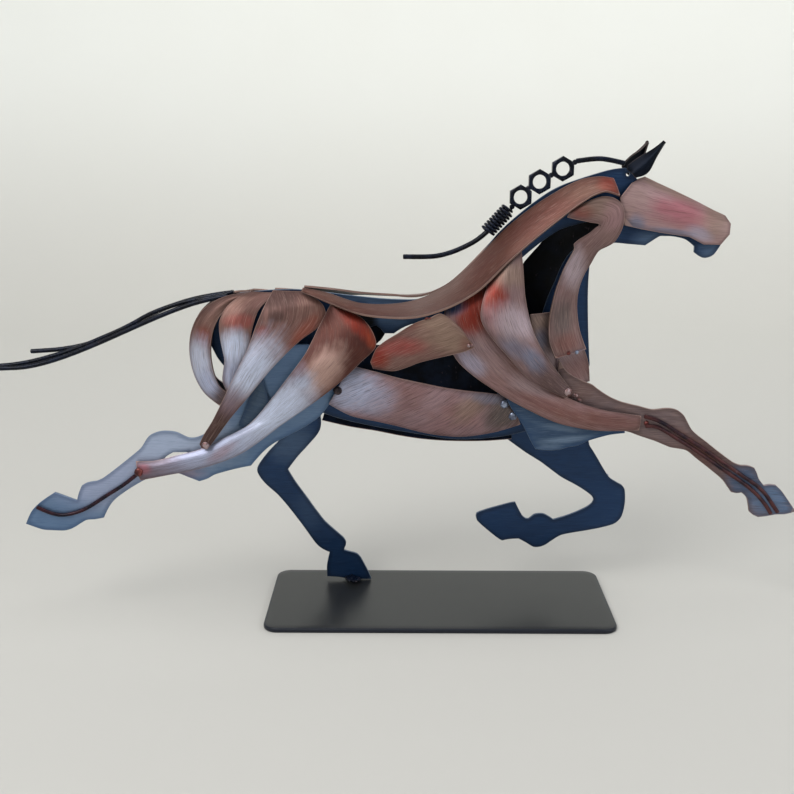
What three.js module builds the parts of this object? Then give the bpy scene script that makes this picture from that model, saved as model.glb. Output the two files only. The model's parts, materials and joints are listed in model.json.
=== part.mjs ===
// Running horse welded from sheet metal, rods, nuts and a spring, on a flat base plate.
// The horse faces +X, its right side faces -Y, and the underside of the base lies on Z = 0.
// One flat plate down the middle (y = 0) draws the head, neck, back and belly. Curved strips are
// welded along both sides of it, and four flat leg plates hang between the strips and the plate.
// All sizes are in millimetres. A strip or plate point is [x, depth, z], with depth measured
// outwards from the middle plate, so one list serves both sides of the horse.
import * as THREE from 'three';

// Base plate
const BASE_LENGTH = 220;
const BASE_WIDTH = 90;
const BASE_THICKNESS = 3;
const BASE_CORNER = 9;
const BASE_EDGE = 0.8;

// Sheet and rod stock
const BODY_PLATE = 2;
const LEG_PLATE = 2;
const STRIP_SHEET = 1.3;
const TAIL_ROD = 2.9;
const TENDON_ROD = 2.4;
const MANE_WIRE = 3;
const WELD_GAP = 0.3;

// Mane hardware: M8 nuts and a close-coiled spring
const NUT_ACROSS_CORNERS = 14.8;
const NUT_HOLE = 7.8;
const NUT_HEIGHT = 4;
const SPRING_DIAMETER = 9.8;
const SPRING_WIRE = 1.6;
const SPRING_TURNS = 9;
const SPRING_STEPS_PER_TURN = 6;

// Depth of the leg plates off the middle plate: each is flat and splays outwards to its hoof
const HIND_DEPTH = 15;
const HIND_SPLAY = 0.07;
const HIND_HIP_X = -65;
const FORE_DEPTH = 15;
const FORE_SPLAY = 0.1;
const FORE_CHEST_X = 90;
const PLANTED_HOOF_DEPTH = 29;
const PLANTED_SPLAY = 14 / 147;
const FOLDED_DEPTH = 18.2;
const FOLDED_SPLAY = 0.06;
const FOLDED_TOP_Z = 110;
const ELBOW_DEPTH = 21;
const ELBOW_X = 75;
const ELBOW_TURN = 0.047;

const RIGHT = -1;
const LEFT = 1;

// Paints and bare metal
const FINISH = {
  bronze: { color: 0x7d5f55, roughness: 0.5, metalness: 0.6 },
  slate: { color: 0x3f5a78, roughness: 0.55, metalness: 0.5 },
  navy: { color: 0x1c2c44, roughness: 0.55, metalness: 0.5 },
  black: { color: 0x14181f, roughness: 0.45, metalness: 0.5 },
  base: { color: 0x35373a, roughness: 0.4, metalness: 0.4 },
};

const horse = new THREE.Group();

function add(name, geometry, finish) {
  const mesh = new THREE.Mesh(geometry, new THREE.MeshStandardMaterial(FINISH[finish]));
  mesh.name = name;
  horse.add(mesh);
  return mesh;
}

// ---------------------------------------------------------------- shared shapes

function signedVolume(points, triangles) {
  let volume = 0;
  for (const [a, b, c] of triangles) {
    volume += points[a].dot(new THREE.Vector3().crossVectors(points[b], points[c]));
  }
  return volume;
}

function closedGeometry(points, triangles) {
  const outward = signedVolume(points, triangles) > 0;
  const index = triangles.flatMap(([a, b, c]) => (outward ? [a, b, c] : [a, c, b]));
  const geometry = new THREE.BufferGeometry();
  geometry.setAttribute('position', new THREE.Float32BufferAttribute(points.flatMap((p) => p.toArray()), 3));
  geometry.setIndex(index);
  return geometry;
}

// A sheet of even thickness over a grid of points: two skins joined by a rim.
function sheet(rows, thickness) {
  const count = rows.length;
  const width = rows[0].length;
  const points = [];
  for (const face of [0.5, -0.5]) {
    for (let i = 0; i < count; i += 1) {
      for (let j = 0; j < width; j += 1) {
        const along = rows[Math.min(i + 1, count - 1)][j].clone().sub(rows[Math.max(i - 1, 0)][j]);
        const across = rows[i][Math.min(j + 1, width - 1)].clone().sub(rows[i][Math.max(j - 1, 0)]);
        const normal = along.cross(across).normalize();
        points.push(rows[i][j].clone().addScaledVector(normal, face * thickness));
      }
    }
  }
  const at = (face, i, j) => face * count * width + i * width + j;
  const triangles = [];
  const quad = (a, b, c, d) => triangles.push([a, b, c], [a, c, d]);
  for (let i = 0; i + 1 < count; i += 1) {
    for (let j = 0; j + 1 < width; j += 1) {
      quad(at(0, i, j), at(0, i + 1, j), at(0, i + 1, j + 1), at(0, i, j + 1));
      quad(at(1, i, j), at(1, i, j + 1), at(1, i + 1, j + 1), at(1, i + 1, j));
    }
    quad(at(0, i, 0), at(1, i, 0), at(1, i + 1, 0), at(0, i + 1, 0));
    quad(at(0, i, width - 1), at(0, i + 1, width - 1), at(1, i + 1, width - 1), at(1, i, width - 1));
  }
  for (let j = 0; j + 1 < width; j += 1) {
    quad(at(0, 0, j), at(0, 0, j + 1), at(1, 0, j + 1), at(1, 0, j));
    quad(at(0, count - 1, j), at(1, count - 1, j), at(1, count - 1, j + 1), at(0, count - 1, j + 1));
  }
  return closedGeometry(points, triangles);
}

function sidePoint([x, depth, z], side) {
  return new THREE.Vector3(x, side * depth, z);
}

// A curved strip between two edges with as many stations each, bowed outwards by crown across its width.
function strip({ one, two, crown = 1.5, across = 3, steps = 2, shift = [0, 0, 0] }, side) {
  const move = new THREE.Vector3(shift[0], side * shift[1], shift[2]);
  const placed = (edge) => edge.map((p) => sidePoint(p, side).add(move));
  const edges = [one, two].map((edge) => new THREE.CatmullRomCurve3(placed(edge)));
  const stations = (one.length - 1) * steps;
  const rows = [];
  for (let i = 0; i <= stations; i += 1) {
    const ends = edges.map((edge) => edge.getPoint(i / stations));
    const row = [];
    for (let j = 0; j <= across; j += 1) {
      const v = j / across;
      const point = ends[0].clone().lerp(ends[1], v);
      point.y += side * crown * 4 * v * (1 - v);
      row.push(point);
    }
    rows.push(row);
  }
  return sheet(rows, STRIP_SHEET);
}

// The same strip without its last stations, or with its second edge drawn in towards the first.
function shortened(shape, dropped) {
  return { ...shape, one: shape.one.slice(0, -dropped), two: shape.two.slice(0, -dropped) };
}

function narrowed(shape, share) {
  const drawIn = (p, i) => p.map((value, k) => value + share * (shape.one[i][k] - value));
  return { ...shape, two: shape.two.map(drawIn) };
}

// Flat outline from runs of [x, z] points. A run is a smooth curve, and runs meet at corners.
function outlinePoints(runs, steps = 2) {
  const points = [];
  for (const run of runs) {
    const corners = run.map(([x, z]) => new THREE.Vector2(x, z));
    const curve = corners.length > 2 ? new THREE.SplineCurve(corners) : new THREE.LineCurve(...corners);
    const spans = corners.length > 2 ? (corners.length - 1) * steps : 1;
    points.push(...curve.getPoints(spans).slice(0, -1));
  }
  return points;
}

function turned(points, clockwise) {
  return THREE.ShapeUtils.isClockWise(points) === clockwise ? points : points.reverse();
}

// A flat plate of that outline. Its depth off the middle plate is depthAt(x, z), which is flat too.
function plate({ runs, holes = [], thickness, depthAt = () => 0, steps = 2 }, side = LEFT) {
  const shape = new THREE.Shape(turned(outlinePoints(runs, steps), false));
  shape.holes = holes.map((hole) => new THREE.Path(turned(outlinePoints(hole, steps), true)));
  const geometry = new THREE.ExtrudeGeometry(shape, { depth: thickness, bevelEnabled: false });
  geometry.translate(0, 0, -thickness / 2);
  geometry.rotateX(Math.PI / 2);
  const position = geometry.attributes.position;
  for (let i = 0; i < position.count; i += 1) {
    const depth = depthAt(position.getX(i), position.getZ(i));
    position.setY(i, position.getY(i) + side * depth);
  }
  return geometry;
}

function circle(radius, sides) {
  const shape = new THREE.Shape();
  for (let i = 0; i < sides; i += 1) {
    const turn = (i / sides) * 2 * Math.PI;
    const point = [radius * Math.cos(turn), radius * Math.sin(turn)];
    if (i === 0) shape.moveTo(...point);
    else shape.lineTo(...point);
  }
  shape.closePath();
  return shape;
}

function rod(path, diameter, { sides = 6, steps = 16 } = {}) {
  return new THREE.ExtrudeGeometry(circle(diameter / 2, sides), {
    steps,
    extrudePath: path,
    bevelEnabled: false,
  });
}

function bentRod(points, diameter, options) {
  const path = new THREE.CatmullRomCurve3(points.map((p) => new THREE.Vector3(...p)));
  return rod(path, diameter, options);
}

function addPair(name, build, finish) {
  add(`right_${name}`, build(RIGHT), finish);
  add(`left_${name}`, build(LEFT), finish);
}

// ---------------------------------------------------------------- base plate

function basePlate() {
  const inset = BASE_EDGE;
  const halfX = BASE_LENGTH / 2 - inset;
  const halfY = BASE_WIDTH / 2 - inset;
  const r = BASE_CORNER - inset;
  const shape = new THREE.Shape();
  shape.moveTo(-halfX + r, -halfY);
  shape.lineTo(halfX - r, -halfY);
  shape.absarc(halfX - r, -halfY + r, r, -Math.PI / 2, 0);
  shape.lineTo(halfX, halfY - r);
  shape.absarc(halfX - r, halfY - r, r, 0, Math.PI / 2);
  shape.lineTo(-halfX + r, halfY);
  shape.absarc(-halfX + r, halfY - r, r, Math.PI / 2, Math.PI);
  shape.lineTo(-halfX, -halfY + r);
  shape.absarc(-halfX + r, -halfY + r, r, Math.PI, 1.5 * Math.PI);
  const geometry = new THREE.ExtrudeGeometry(shape, {
    depth: BASE_THICKNESS - 2 * inset,
    bevelSize: inset,
    bevelThickness: inset,
    bevelSegments: 1,
    curveSegments: 3,
  });
  geometry.translate(0, 0, inset);
  return geometry;
}

add('base_plate', basePlate(), 'base');

// ---------------------------------------------------------------- middle plate

const SILHOUETTE = [
  // croup, back and withers
  [[-123, 204.5], [-104, 206.3], [-85, 206.5], [-59, 203.5], [-40, 201.5], [-19, 200.5], [-7, 202.5],
    [5, 209.5],
    [20, 224], [33, 240], [47, 253], [64, 265.5], [79, 272], [99, 278], [108, 279]],
  // poll and nose, under the folded head cover
  [[108, 279], [112.5, 276]],
  [[112.5, 276], [115.5, 272]],
  [[115.5, 272], [120, 270]],
  [[120, 270], [165, 248]],
  [[165, 248], [168, 245.5], [168, 241], [167.5, 234.5]],
  // lips, chin and jaw
  [[167.5, 234.5], [163.5, 228], [158.5, 226], [155, 227], [151.5, 229.5]],
  [[151.5, 229.5], [151.5, 233]],
  [[151.5, 233], [147, 236.5], [143, 238], [137, 239], [130.5, 239]],
  [[130.5, 239], [122, 233.5]],
  [[122, 233.5], [110, 234.5], [103, 235], [98, 233], [92, 229.5], [89.5, 223], [89, 206], [90, 185],
    [91, 172],
    [92, 160]],
  // breast, brisket and belly
  [[92, 160], [88, 148], [78, 132], [66, 122], [53, 117], [38, 113.5], [22, 112], [6, 112], [-10, 114.5],
    [-41, 120], [-66, 126], [-84, 134], [-104, 147], [-120, 153], [-133, 157]],
  // cut edge of the rump
  [[-133, 157], [-138, 163.5], [-142, 172]],
  [[-142, 172], [-142.5, 178], [-141, 186.5], [-137, 195], [-131, 200], [-123, 204.5]],
];

const NECK_WINDOW = [
  [[49.5, 227], [59, 235], [70, 242.5], [79, 245.5], [88, 247.5], [95, 246]],
  [[95, 246], [79.5, 231]],
  [[79.5, 231], [76, 227.5], [72, 220.5], [69, 212.5], [64, 200], [60, 185]],
  [[60, 185], [52, 178], [45, 186], [42, 205], [44, 220], [49.5, 227]],
];

const TORSO_WINDOW = [
  [[-35, 179.5], [-29, 179.5]],
  [[-29, 179.5], [-19, 185], [0, 187], [22, 179], [35, 160], [38, 143]],
  [[38, 143], [20, 134], [-10, 138], [-35, 146], [-54, 156], [-56, 170], [-48, 181]],
  [[-48, 181], [-40, 184.5], [-35, 179.5]],
];

// A small drilled hole behind the ears.
const POLL_HOLE = { x: 109.5, z: 275.3, radius: 1.2, sides: 8 };

function roundHole({ x, z, radius, sides }) {
  const turn = (2 * Math.PI) / sides;
  const corner = (i) => [x + radius * Math.cos(i * turn), z + radius * Math.sin(i * turn)];
  return Array.from({ length: sides }, (_, i) => [corner(i), corner(i + 1)]);
}

const WINDOWS = [NECK_WINDOW, TORSO_WINDOW, roundHole(POLL_HOLE)];
add('body_plate', plate({ runs: SILHOUETTE, holes: WINDOWS, thickness: BODY_PLATE }), 'slate');

// ---------------------------------------------------------------- head

// Each row runs from the nose ridge down one cheek: [x, half width, z].
const HEAD_COVER = [
  [[119.5, 0, 273.8], [111, 5, 270.5], [104, 7.5, 262], [107.5, 7.5, 246]],
  [[128, 0, 269.8], [124, 5, 264.5], [119, 7.5, 255], [118, 7, 243.7]],
  [[137, 0, 265.8], [135, 5, 259.5], [132, 7, 250], [129, 6.5, 241.7]],
  [[151.5, 0, 259], [151, 4.5, 252.5], [149, 6, 245.5], [147, 5.5, 239]],
  [[161.5, 0, 254], [162, 4, 249], [160, 5.5, 242], [156, 4.5, 234.5]],
  [[168.8, 0, 250.8], [171.5, 3.5, 246.5], [171, 4.5, 240.5], [166.3, 4, 234.3]],
];

function headCover() {
  const rows = HEAD_COVER.map((row) => {
    const right = row.slice(1).reverse().map((p) => sidePoint(p, RIGHT));
    const left = row.map((p) => sidePoint(p, LEFT));
    return [...right, ...left];
  });
  return sheet(rows, STRIP_SHEET);
}

add('head_cover', headCover(), 'bronze');

const EAR_BASE_Z = 273.5;
const EAR = {
  one: [[108.5, 2.8, 278.3], [109, 3.4, 280.8], [115, 4.5, 285.5], [121, 5.5, 289], [125.5, 6.5, 292.3],
    [128, 7, 294.6]],
  two: [[112.5, 7, EAR_BASE_Z], [117.5, 7.5, 275], [120.8, 7.5, 278], [123.8, 7.5, 285], [126.3, 7.5, 290],
    [128.3, 7.2, 293.5]],
  crown: 2.2,
  across: 2,
  steps: 1,
};

// lean is how much further back the ear goes for each millimetre up.
function ear(side, lean) {
  const leaning = (edge) => edge.map(([x, depth, z]) => [x - lean * (z - EAR_BASE_Z), depth, z]);
  return strip({ ...EAR, one: leaning(EAR.one), two: leaning(EAR.two) }, side);
}

add('right_ear', ear(RIGHT, 0), 'navy');
add('left_ear', ear(LEFT, 0.3), 'navy');

// ---------------------------------------------------------------- neck, shoulder and chest strips

const NECK_STRIP = {
  one: [[-84, 4.8, 208], [-68, 10, 205.5], [-50, 21.5, 201.5], [-30, 19, 200.5], [-12, 6, 202],
    [4.5, 2.4, 210], [20.5, 2.4, 225], [37, 2.4, 242.5], [51.5, 2.4, 254.5], [69, 2.4, 266],
    [82, 2.5, 272.3], [93, 3, 274], [100.5, 4, 273]],
  two: [[-84.5, 6, 206], [-67, 19, 201], [-48.5, 33, 197], [-31, 37, 195.5], [-14.5, 36, 196],
    [4, 33, 201.5], [21.5, 29, 211], [35, 25, 223.5], [48, 20.5, 234.5], [66, 16, 248.5],
    [84, 13, 261.5], [94.5, 12.7, 266], [103, 12.5, 263.5]],
  crown: 1,
  across: 2,
};
// Over the loins the left strip lies a little higher, so that daylight shows above the middle plate.
const LOINS = { from: -60, to: 0, lift: 1.9 };
const overLoins = (x) => (x > LOINS.from && x < LOINS.to ? LOINS.lift : 0);
const LEFT_NECK_STRIP = {
  ...NECK_STRIP,
  two: NECK_STRIP.two.map(([x, depth, z]) => [x, depth, z + overLoins(x)]),
};
add('right_neck_strip', strip(NECK_STRIP, RIGHT), 'bronze');
add('left_neck_strip', strip(LEFT_NECK_STRIP, LEFT), 'bronze');

const THROAT_STRIP = {
  one: [[75, 10, 255], [84.5, 10, 259.8], [93, 9.5, 262.8], [99.5, 10, 262.3], [104.5, 10.5, 258.8],
    [106.5, 10.5, 253], [105.8, 10.5, 245], [101, 9.5, 236], [93, 8.5, 231.5], [88.5, 8, 223.5],
    [84.5, 8.5, 216.5], [81.5, 9, 206.5],
    [81, 10, 196], [83, 11, 183.5], [87.5, 11, 172]],
  two: [[73, 11.5, 251], [77, 11.5, 250], [82, 12, 249], [87, 12, 248], [92, 12, 247], [90.5, 12, 245.5],
    [85.5, 12.5, 241.5], [77.5, 13.5, 236], [77.5, 13.5, 232.5], [73, 14, 223.5], [68, 16, 211.5],
    [65, 18, 200], [63.5, 19, 189], [64, 20, 178], [68, 19, 168]],
  crown: 1,
  across: 2,
};
addPair('throat_strip', (side) => strip(THROAT_STRIP, side), 'bronze');

const FRONT_SHOULDER_STRIP = {
  one: [[46, 17, 233], [47, 22.5, 221.5], [48, 28, 206], [52.5, 32, 187.5], [58.5, 32, 175.5],
    [67, 28, 163.5],
    [77.5, 22, 149.5]],
  two: [[28, 22, 216], [23, 29, 204.5], [22, 33.5, 193.5], [29, 36, 182.5], [38, 37, 172.5],
    [52, 34, 157.5],
    [75, 23.5, 144.5]],
};
addPair('front_shoulder_strip', (side) => strip(FRONT_SHOULDER_STRIP, side), 'bronze');

const REAR_SHOULDER_STRIP = {
  one: [[26, 19, 212], [28, 25, 203], [33.5, 28.5, 187.5], [42.5, 30, 173], [54.5, 27.5, 159.5],
    [67, 22.5, 149.5],
    [82, 20.8, 141.5], [98, 21, 136.5], [110, 21, 134.5], [121, 21.5, 133]],
  two: [[1, 27.5, 198], [0, 31, 187.5], [8, 32, 170], [17, 31.5, 161], [28.5, 30.5, 152.5],
    [40.5, 29, 144.5],
    [53, 27.5, 137.5], [71, 25, 129], [95.5, 22.5, 124], [120, 21.5, 124]],
  crown: 1,
};
add('right_rear_shoulder_strip', strip(REAR_SHOULDER_STRIP, RIGHT), 'bronze');
add('left_rear_shoulder_strip', strip(shortened(REAR_SHOULDER_STRIP, 2), LEFT), 'bronze');

const CHEST_PANEL = {
  one: [[66, 12, 195], [76, 9, 186], [87, 4.5, 171.5], [91, 2.4, 160.5], [92, 2.4, 150]],
  two: [[52.5, 15, 194], [55, 15.5, 182], [62, 13, 168], [72, 10.5, 157.5], [82, 9, 149]],
  crown: 0.6,
};
add('right_chest_panel', strip(CHEST_PANEL, RIGHT), 'bronze');

// The panel on the left is cut taller and closes most of the window in the neck.
const TALL_CHEST_PANEL = {
  one: [[96, 3, 252], [92, 3, 236], [88, 3, 219], [87, 3, 195], [88, 4.5, 172], [92, 6, 151]],
  two: [[66, 10, 252], [61.5, 13.5, 234], [50, 15, 219], [48, 15, 195], [60, 13, 168], [82, 9, 149]],
  crown: 0.2,
};
add('left_chest_panel', strip(TALL_CHEST_PANEL, LEFT), 'bronze');

// ---------------------------------------------------------------- ribs and belly

const RIB_PATCH = {
  one: [[-42, 31, 168], [-38.5, 32, 177], [-27, 34, 185.5], [-16.5, 34.5, 192], [-8, 34.5, 195],
    [-1, 34.5, 197.5], [10.5, 36, 188.7]],
  two: [[-41, 30, 164.5], [-28, 31, 163], [-13.5, 33, 168.5], [3, 36, 173.2], [11.5, 37, 175.5],
    [16, 37, 177.2],
    [18.2, 37, 178.7]],
};
add('right_rib_patch', strip(RIB_PATCH, RIGHT), 'bronze');
add('left_rib_patch', strip({ ...RIB_PATCH, shift: [14, 0, -8] }, LEFT), 'bronze');

const BELLY_STRIP = {
  one: [[-55, 21, 164], [-40, 25, 161], [-25, 28, 157.5], [-10, 29, 154.5], [4.5, 28.5, 151.5],
    [19.5, 26, 149],
    [35, 21.5, 146], [42.5, 17.5, 141.5]],
  two: [[-68.5, 19, 139.5], [-55.5, 18, 132], [-40.5, 18, 128.5], [-25, 18, 125], [-8, 17, 120.5],
    [12, 17, 118.5],
    [33, 17.5, 121.5], [48.5, 17.5, 126.5]],
  crown: 2.5,
};
add('right_belly_strip', strip(BELLY_STRIP, RIGHT), 'bronze');

const LOW_BELLY_STRIP = {
  one: [[-58, 22, 171], [-40, 26, 167], [-22, 28, 167], [-6, 29, 167], [10, 28.5, 165], [24, 26, 161],
    [35, 21.5, 155], [42.5, 17.5, 148]],
  two: [[-75, 8, 121.5], [-57, 7.5, 117.5], [-41, 7, 115], [-25.5, 6.5, 112], [-8, 6.5, 109.5],
    [10, 6.5, 108.5],
    [30, 7, 108.5], [46, 8, 109.5]],
  crown: 5,
};
add('left_belly_strip', strip(LOW_BELLY_STRIP, LEFT), 'bronze');

// ---------------------------------------------------------------- rump strips, from the tail forwards

const RUMP_STRIPS = [
  {
    one: [[-116.5, 2.4, 205.3], [-125.5, 6.4, 204.3], [-133.5, 6, 202], [-142, 5.5, 197],
      [-149, 5.5, 189.5],
      [-153.5, 6, 177], [-153.5, 7, 163], [-150, 9, 151.5], [-144.5, 11, 143.5], [-135.5, 14, 137]],
    two: [[-115, 2.6, 204], [-120, 8.5, 202.5], [-126, 9, 199], [-132.5, 10, 193.5], [-137, 11.5, 186],
      [-139.5, 13, 176], [-139.5, 14.5, 165], [-137, 16, 154.5], [-134, 17, 149], [-128, 18, 145]],
    across: 2,
  },
  {
    one: [[-115, 4.8, 206], [-123, 11.5, 203], [-130, 14, 197], [-133.5, 16.5, 188.5], [-132.5, 19, 177],
      [-130.5, 21, 166.5], [-132, 22, 155], [-129, 21.5, 146.5]],
    two: [[-101, 2.6, 204.8], [-103.5, 7.6, 202], [-109.5, 15, 196.5], [-113, 18, 187], [-115, 20, 176],
      [-118, 21, 164], [-121, 21.5, 155], [-122, 21.5, 146.5]],
    across: 2,
  },
  {
    one: [[-102, 5, 206.5], [-106.5, 15, 198], [-111, 20, 187.5], [-116, 24, 174], [-123, 26.5, 160.5],
      [-130, 28, 146], [-138, 28, 130.5], [-146, 28, 117], [-145, 28, 114]],
    two: [[-84, 2.6, 205.5], [-72, 10.5, 199], [-70, 13, 190], [-84.5, 19.5, 179], [-101.5, 25, 163],
      [-115, 27, 147], [-127, 28, 133], [-137, 28, 119.5], [-141.5, 28, 114]],
  },
  {
    one: [[-66.5, 14, 199.5], [-73.5, 20, 186.5], [-81, 25, 172], [-92, 27, 157.5], [-104.5, 26.5, 141.5],
      [-117, 25.5, 127.5], [-131.5, 25, 119.5], [-147, 25, 112], [-162.5, 25.5, 108], [-174.5, 26, 105],
      [-186, 26.5, 105]],
    two: [[-63.5, 14.5, 199.5], [-46, 24, 191.5], [-39, 29, 178], [-47.5, 30, 168.5], [-62, 30, 154.5],
      [-80, 29, 140.5], [-97.5, 28, 128], [-121, 26.5, 110.5], [-145, 26, 101], [-169, 26.5, 96],
      [-184, 26.5, 93]],
    crown: 2,
  },
];
// On the left the rearmost strip is narrower, and the two front ones bend in to end on the planted thigh.
function endingOn(shape, kept, { one, two }) {
  return { ...shape, one: [...shape.one.slice(0, kept), ...one], two: [...shape.two.slice(0, kept), ...two] };
}

const LEFT_RUMP_STRIPS = [
  { ...narrowed(RUMP_STRIPS[0], 0.5), shift: [-1, 0, 0] },
  RUMP_STRIPS[1],
  endingOn(RUMP_STRIPS[2], 5, {
    one: [[-119, 23.5, 149], [-112, 18.5, 139.5]],
    two: [[-108, 23.5, 150], [-101, 18.5, 139.5]],
  }),
  endingOn(RUMP_STRIPS[3], 2, {
    one: [[-81, 25, 172], [-92, 27, 157.5], [-94, 24, 147], [-91, 18.6, 136]],
    two: [[-34.2, 30.5, 177.5], [-40, 31.5, 167], [-60, 27, 154], [-76, 18.6, 137]],
  }),
];
RUMP_STRIPS.forEach((shape, i) => add(`right_rump_strip_${i + 1}`, strip(shape, RIGHT), 'bronze'));
LEFT_RUMP_STRIPS.forEach((shape, i) => add(`left_rump_strip_${i + 1}`, strip(shape, LEFT), 'bronze'));

// ---------------------------------------------------------------- leg plates

const hindDepth = (x) => HIND_DEPTH + HIND_SPLAY * (HIND_HIP_X - x);
const foreDepth = (x) => FORE_DEPTH + FORE_SPLAY * (x - FORE_CHEST_X);
const plantedDepth = (x, z) => PLANTED_HOOF_DEPTH - PLANTED_SPLAY * (z - BASE_THICKNESS);
const foldedDepth = (x, z) => FOLDED_DEPTH + FOLDED_SPLAY * (FOLDED_TOP_Z - z);

const TRAILING_HIND = [
  [[-256, 65], [-252, 73], [-246, 79], [-237, 85]],
  [[-237, 85], [-231, 82.5], [-224, 79.5]],
  [[-224, 79.5], [-220.5, 89], [-214, 91.5], [-207.5, 93.5], [-188.5, 108], [-182.5, 113.5], [-178, 120],
    [-170, 123], [-161, 122], [-154, 118.5], [-145, 120.5], [-133, 132], [-116, 154], [-103, 169],
    [-94, 175.5]],
  [[-94, 175.5], [-80, 175.5], [-72, 169], [-66, 156], [-65, 143.5]],
  [[-65, 143.5], [-73.5, 131.5], [-86.5, 122.5], [-102, 114.5], [-110, 108], [-117, 100]],
  [[-117, 100], [-127, 98], [-139.5, 94.5], [-149, 90.5], [-162, 96], [-179, 93.5], [-197.5, 82.5],
    [-204.5, 75.5], [-208.5, 68]],
  [[-208.5, 68], [-214, 67], [-219.5, 66.5], [-226, 62.5], [-233, 60], [-246, 61]],
  [[-246, 61], [-256, 65]],
];
const HOCK_TEAR = [
  [[-171, 104.5], [-168.5, 107.5], [-164, 110]],
  [[-164, 110], [-154, 110]],
  [[-154, 110], [-157, 106]],
  [[-157, 106], [-171, 104.5]],
];
add('right_hind_leg', plate({
  runs: TRAILING_HIND, holes: [HOCK_TEAR], thickness: LEG_PLATE, depthAt: hindDepth,
}, RIGHT), 'slate');

const PLANTED_HIND = [
  [[-66, 150], [-76.5, 122.5]],
  [[-76.5, 122.5], [-76.5, 115.5], [-79.5, 108.5], [-92, 94], [-99, 84.5]],
  [[-99, 84.5], [-94.5, 76], [-86.5, 63.5], [-75.5, 47], [-63, 34.5], [-62, 29], [-63, 25.5], [-56, 23.5],
    [-52, 20], [-46, 7], [-45, 3.6]],
  [[-45, 3.6], [-58, 3.4]],
  [[-58, 3.4], [-67, 5], [-75, 5.5]],
  [[-75, 5.5], [-75, 14], [-73, 24]],
  [[-73, 24], [-77, 26], [-82, 30.5], [-90.5, 44], [-100, 58], [-107, 67], [-114, 74], [-119, 82],
    [-118, 88],
    [-110.5, 98], [-100, 110], [-94, 125]],
  // thigh, hidden behind the strips
  [[-94, 125], [-114, 138]],
  [[-114, 138], [-113, 152], [-104, 165], [-92, 171], [-80, 170], [-70, 161], [-66, 150]],
];
add('left_hind_leg', plate({
  runs: PLANTED_HIND, thickness: LEG_PLATE, depthAt: plantedDepth,
}, LEFT), 'navy');

const REACHING_FORE = [
  [[71, 166.5], [75.5, 159.5], [82, 155], [91.5, 151]],
  [[91.5, 151], [99.5, 145.3], [108.5, 141], [120, 138.3], [128, 136.5], [135, 137.5], [141.5, 137],
    [147, 133], [152, 124.5], [160.5, 117.5], [178, 104.5], [185, 103], [190.5, 101.5], [193.5, 95],
    [197, 90.5]],
  [[197, 90.5], [204, 91], [211, 83], [217, 74.5]],
  [[217, 74.5], [211, 72.5], [205, 72], [195, 70], [189.5, 73.5]],
  [[189.5, 73.5], [187.5, 82], [184, 85.5]],
  [[184, 85.5], [178, 85.5], [172, 93.5], [155, 107], [149, 111.5], [140, 113], [131, 116.5],
    [121.5, 119.5],
    [116, 121.5]],
  [[116, 121.5], [97, 127], [80, 138], [71.5, 152], [71, 166.5]],
];
add('right_foreleg', plate({
  runs: REACHING_FORE, thickness: LEG_PLATE, depthAt: foreDepth,
}, RIGHT), 'bronze');

const FOLDED_FORE = [
  [[47, 124], [44.3, 106.4]],
  [[44.3, 106.4], [57, 97], [67, 90.5], [80, 80.5], [90.5, 74.5], [101, 67], [101.5, 62], [94.5, 57],
    [84.5, 52.5],
    [76.5, 50]],
  [[76.5, 50], [70, 54], [63.5, 53.5], [60, 50.5], [56, 52.5], [51, 62]],
  [[51, 62], [48.5, 62], [31.5, 57], [25.5, 54.5]],
  [[25.5, 54.5], [26, 49], [38.5, 37.5], [43, 34.5]],
  [[43, 34.5], [54, 36], [64, 30], [72, 31.5], [82, 38.5], [98.5, 42], [117, 47], [122.5, 55.5],
    [123, 68.5],
    [120.5, 74.5], [112, 80], [104, 92.5], [97.5, 103]],
  [[97.5, 103], [94, 122]],
  [[94, 122], [72, 130], [47, 124]],
];
add('left_foreleg', plate({ runs: FOLDED_FORE, thickness: LEG_PLATE, depthAt: foldedDepth }, LEFT), 'navy');

const ELBOW_PLATE = [
  [[38, 146], [42, 138], [49, 128], [54, 118], [57.5, 112]],
  [[57.5, 112], [65, 111], [73, 111.5]],
  [[73, 111.5], [78, 113], [84, 114], [90, 117], [102.5, 120.5], [112, 121.5]],
  [[112, 121.5], [112, 126]],
  [[112, 126], [90, 128], [66, 136], [46, 147]],
  [[46, 147], [38, 146]],
];
const elbowDepth = (x) => ELBOW_DEPTH - ELBOW_TURN * (x - ELBOW_X);
addPair('elbow_plate', (side) => plate({
  runs: ELBOW_PLATE, thickness: STRIP_SHEET, depthAt: elbowDepth,
}, side), 'slate');

const HAUNCH_SLAT = {
  one: [[-112, 21.2, 156], [-117.5, 21.2, 141], [-124, 21.2, 126]],
  two: [[-107.5, 21.2, 155], [-103.5, 21.2, 138], [-113, 21.2, 122]],
  crown: 0.5,
  across: 2,
  steps: 1,
};
add('right_haunch_slat', strip(HAUNCH_SLAT, RIGHT), 'slate');

// ---------------------------------------------------------------- tendons, tail and mane

// A tendon rod lies along the outer face of a leg plate.
function tendon(points, depthAt, side) {
  const lift = (LEG_PLATE + TENDON_ROD) / 2 + WELD_GAP;
  const path = points.map(([x, z]) => [x, side * (depthAt(x, z) + lift), z]);
  return bentRod(path, TENDON_ROD, { steps: 14 });
}

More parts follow.
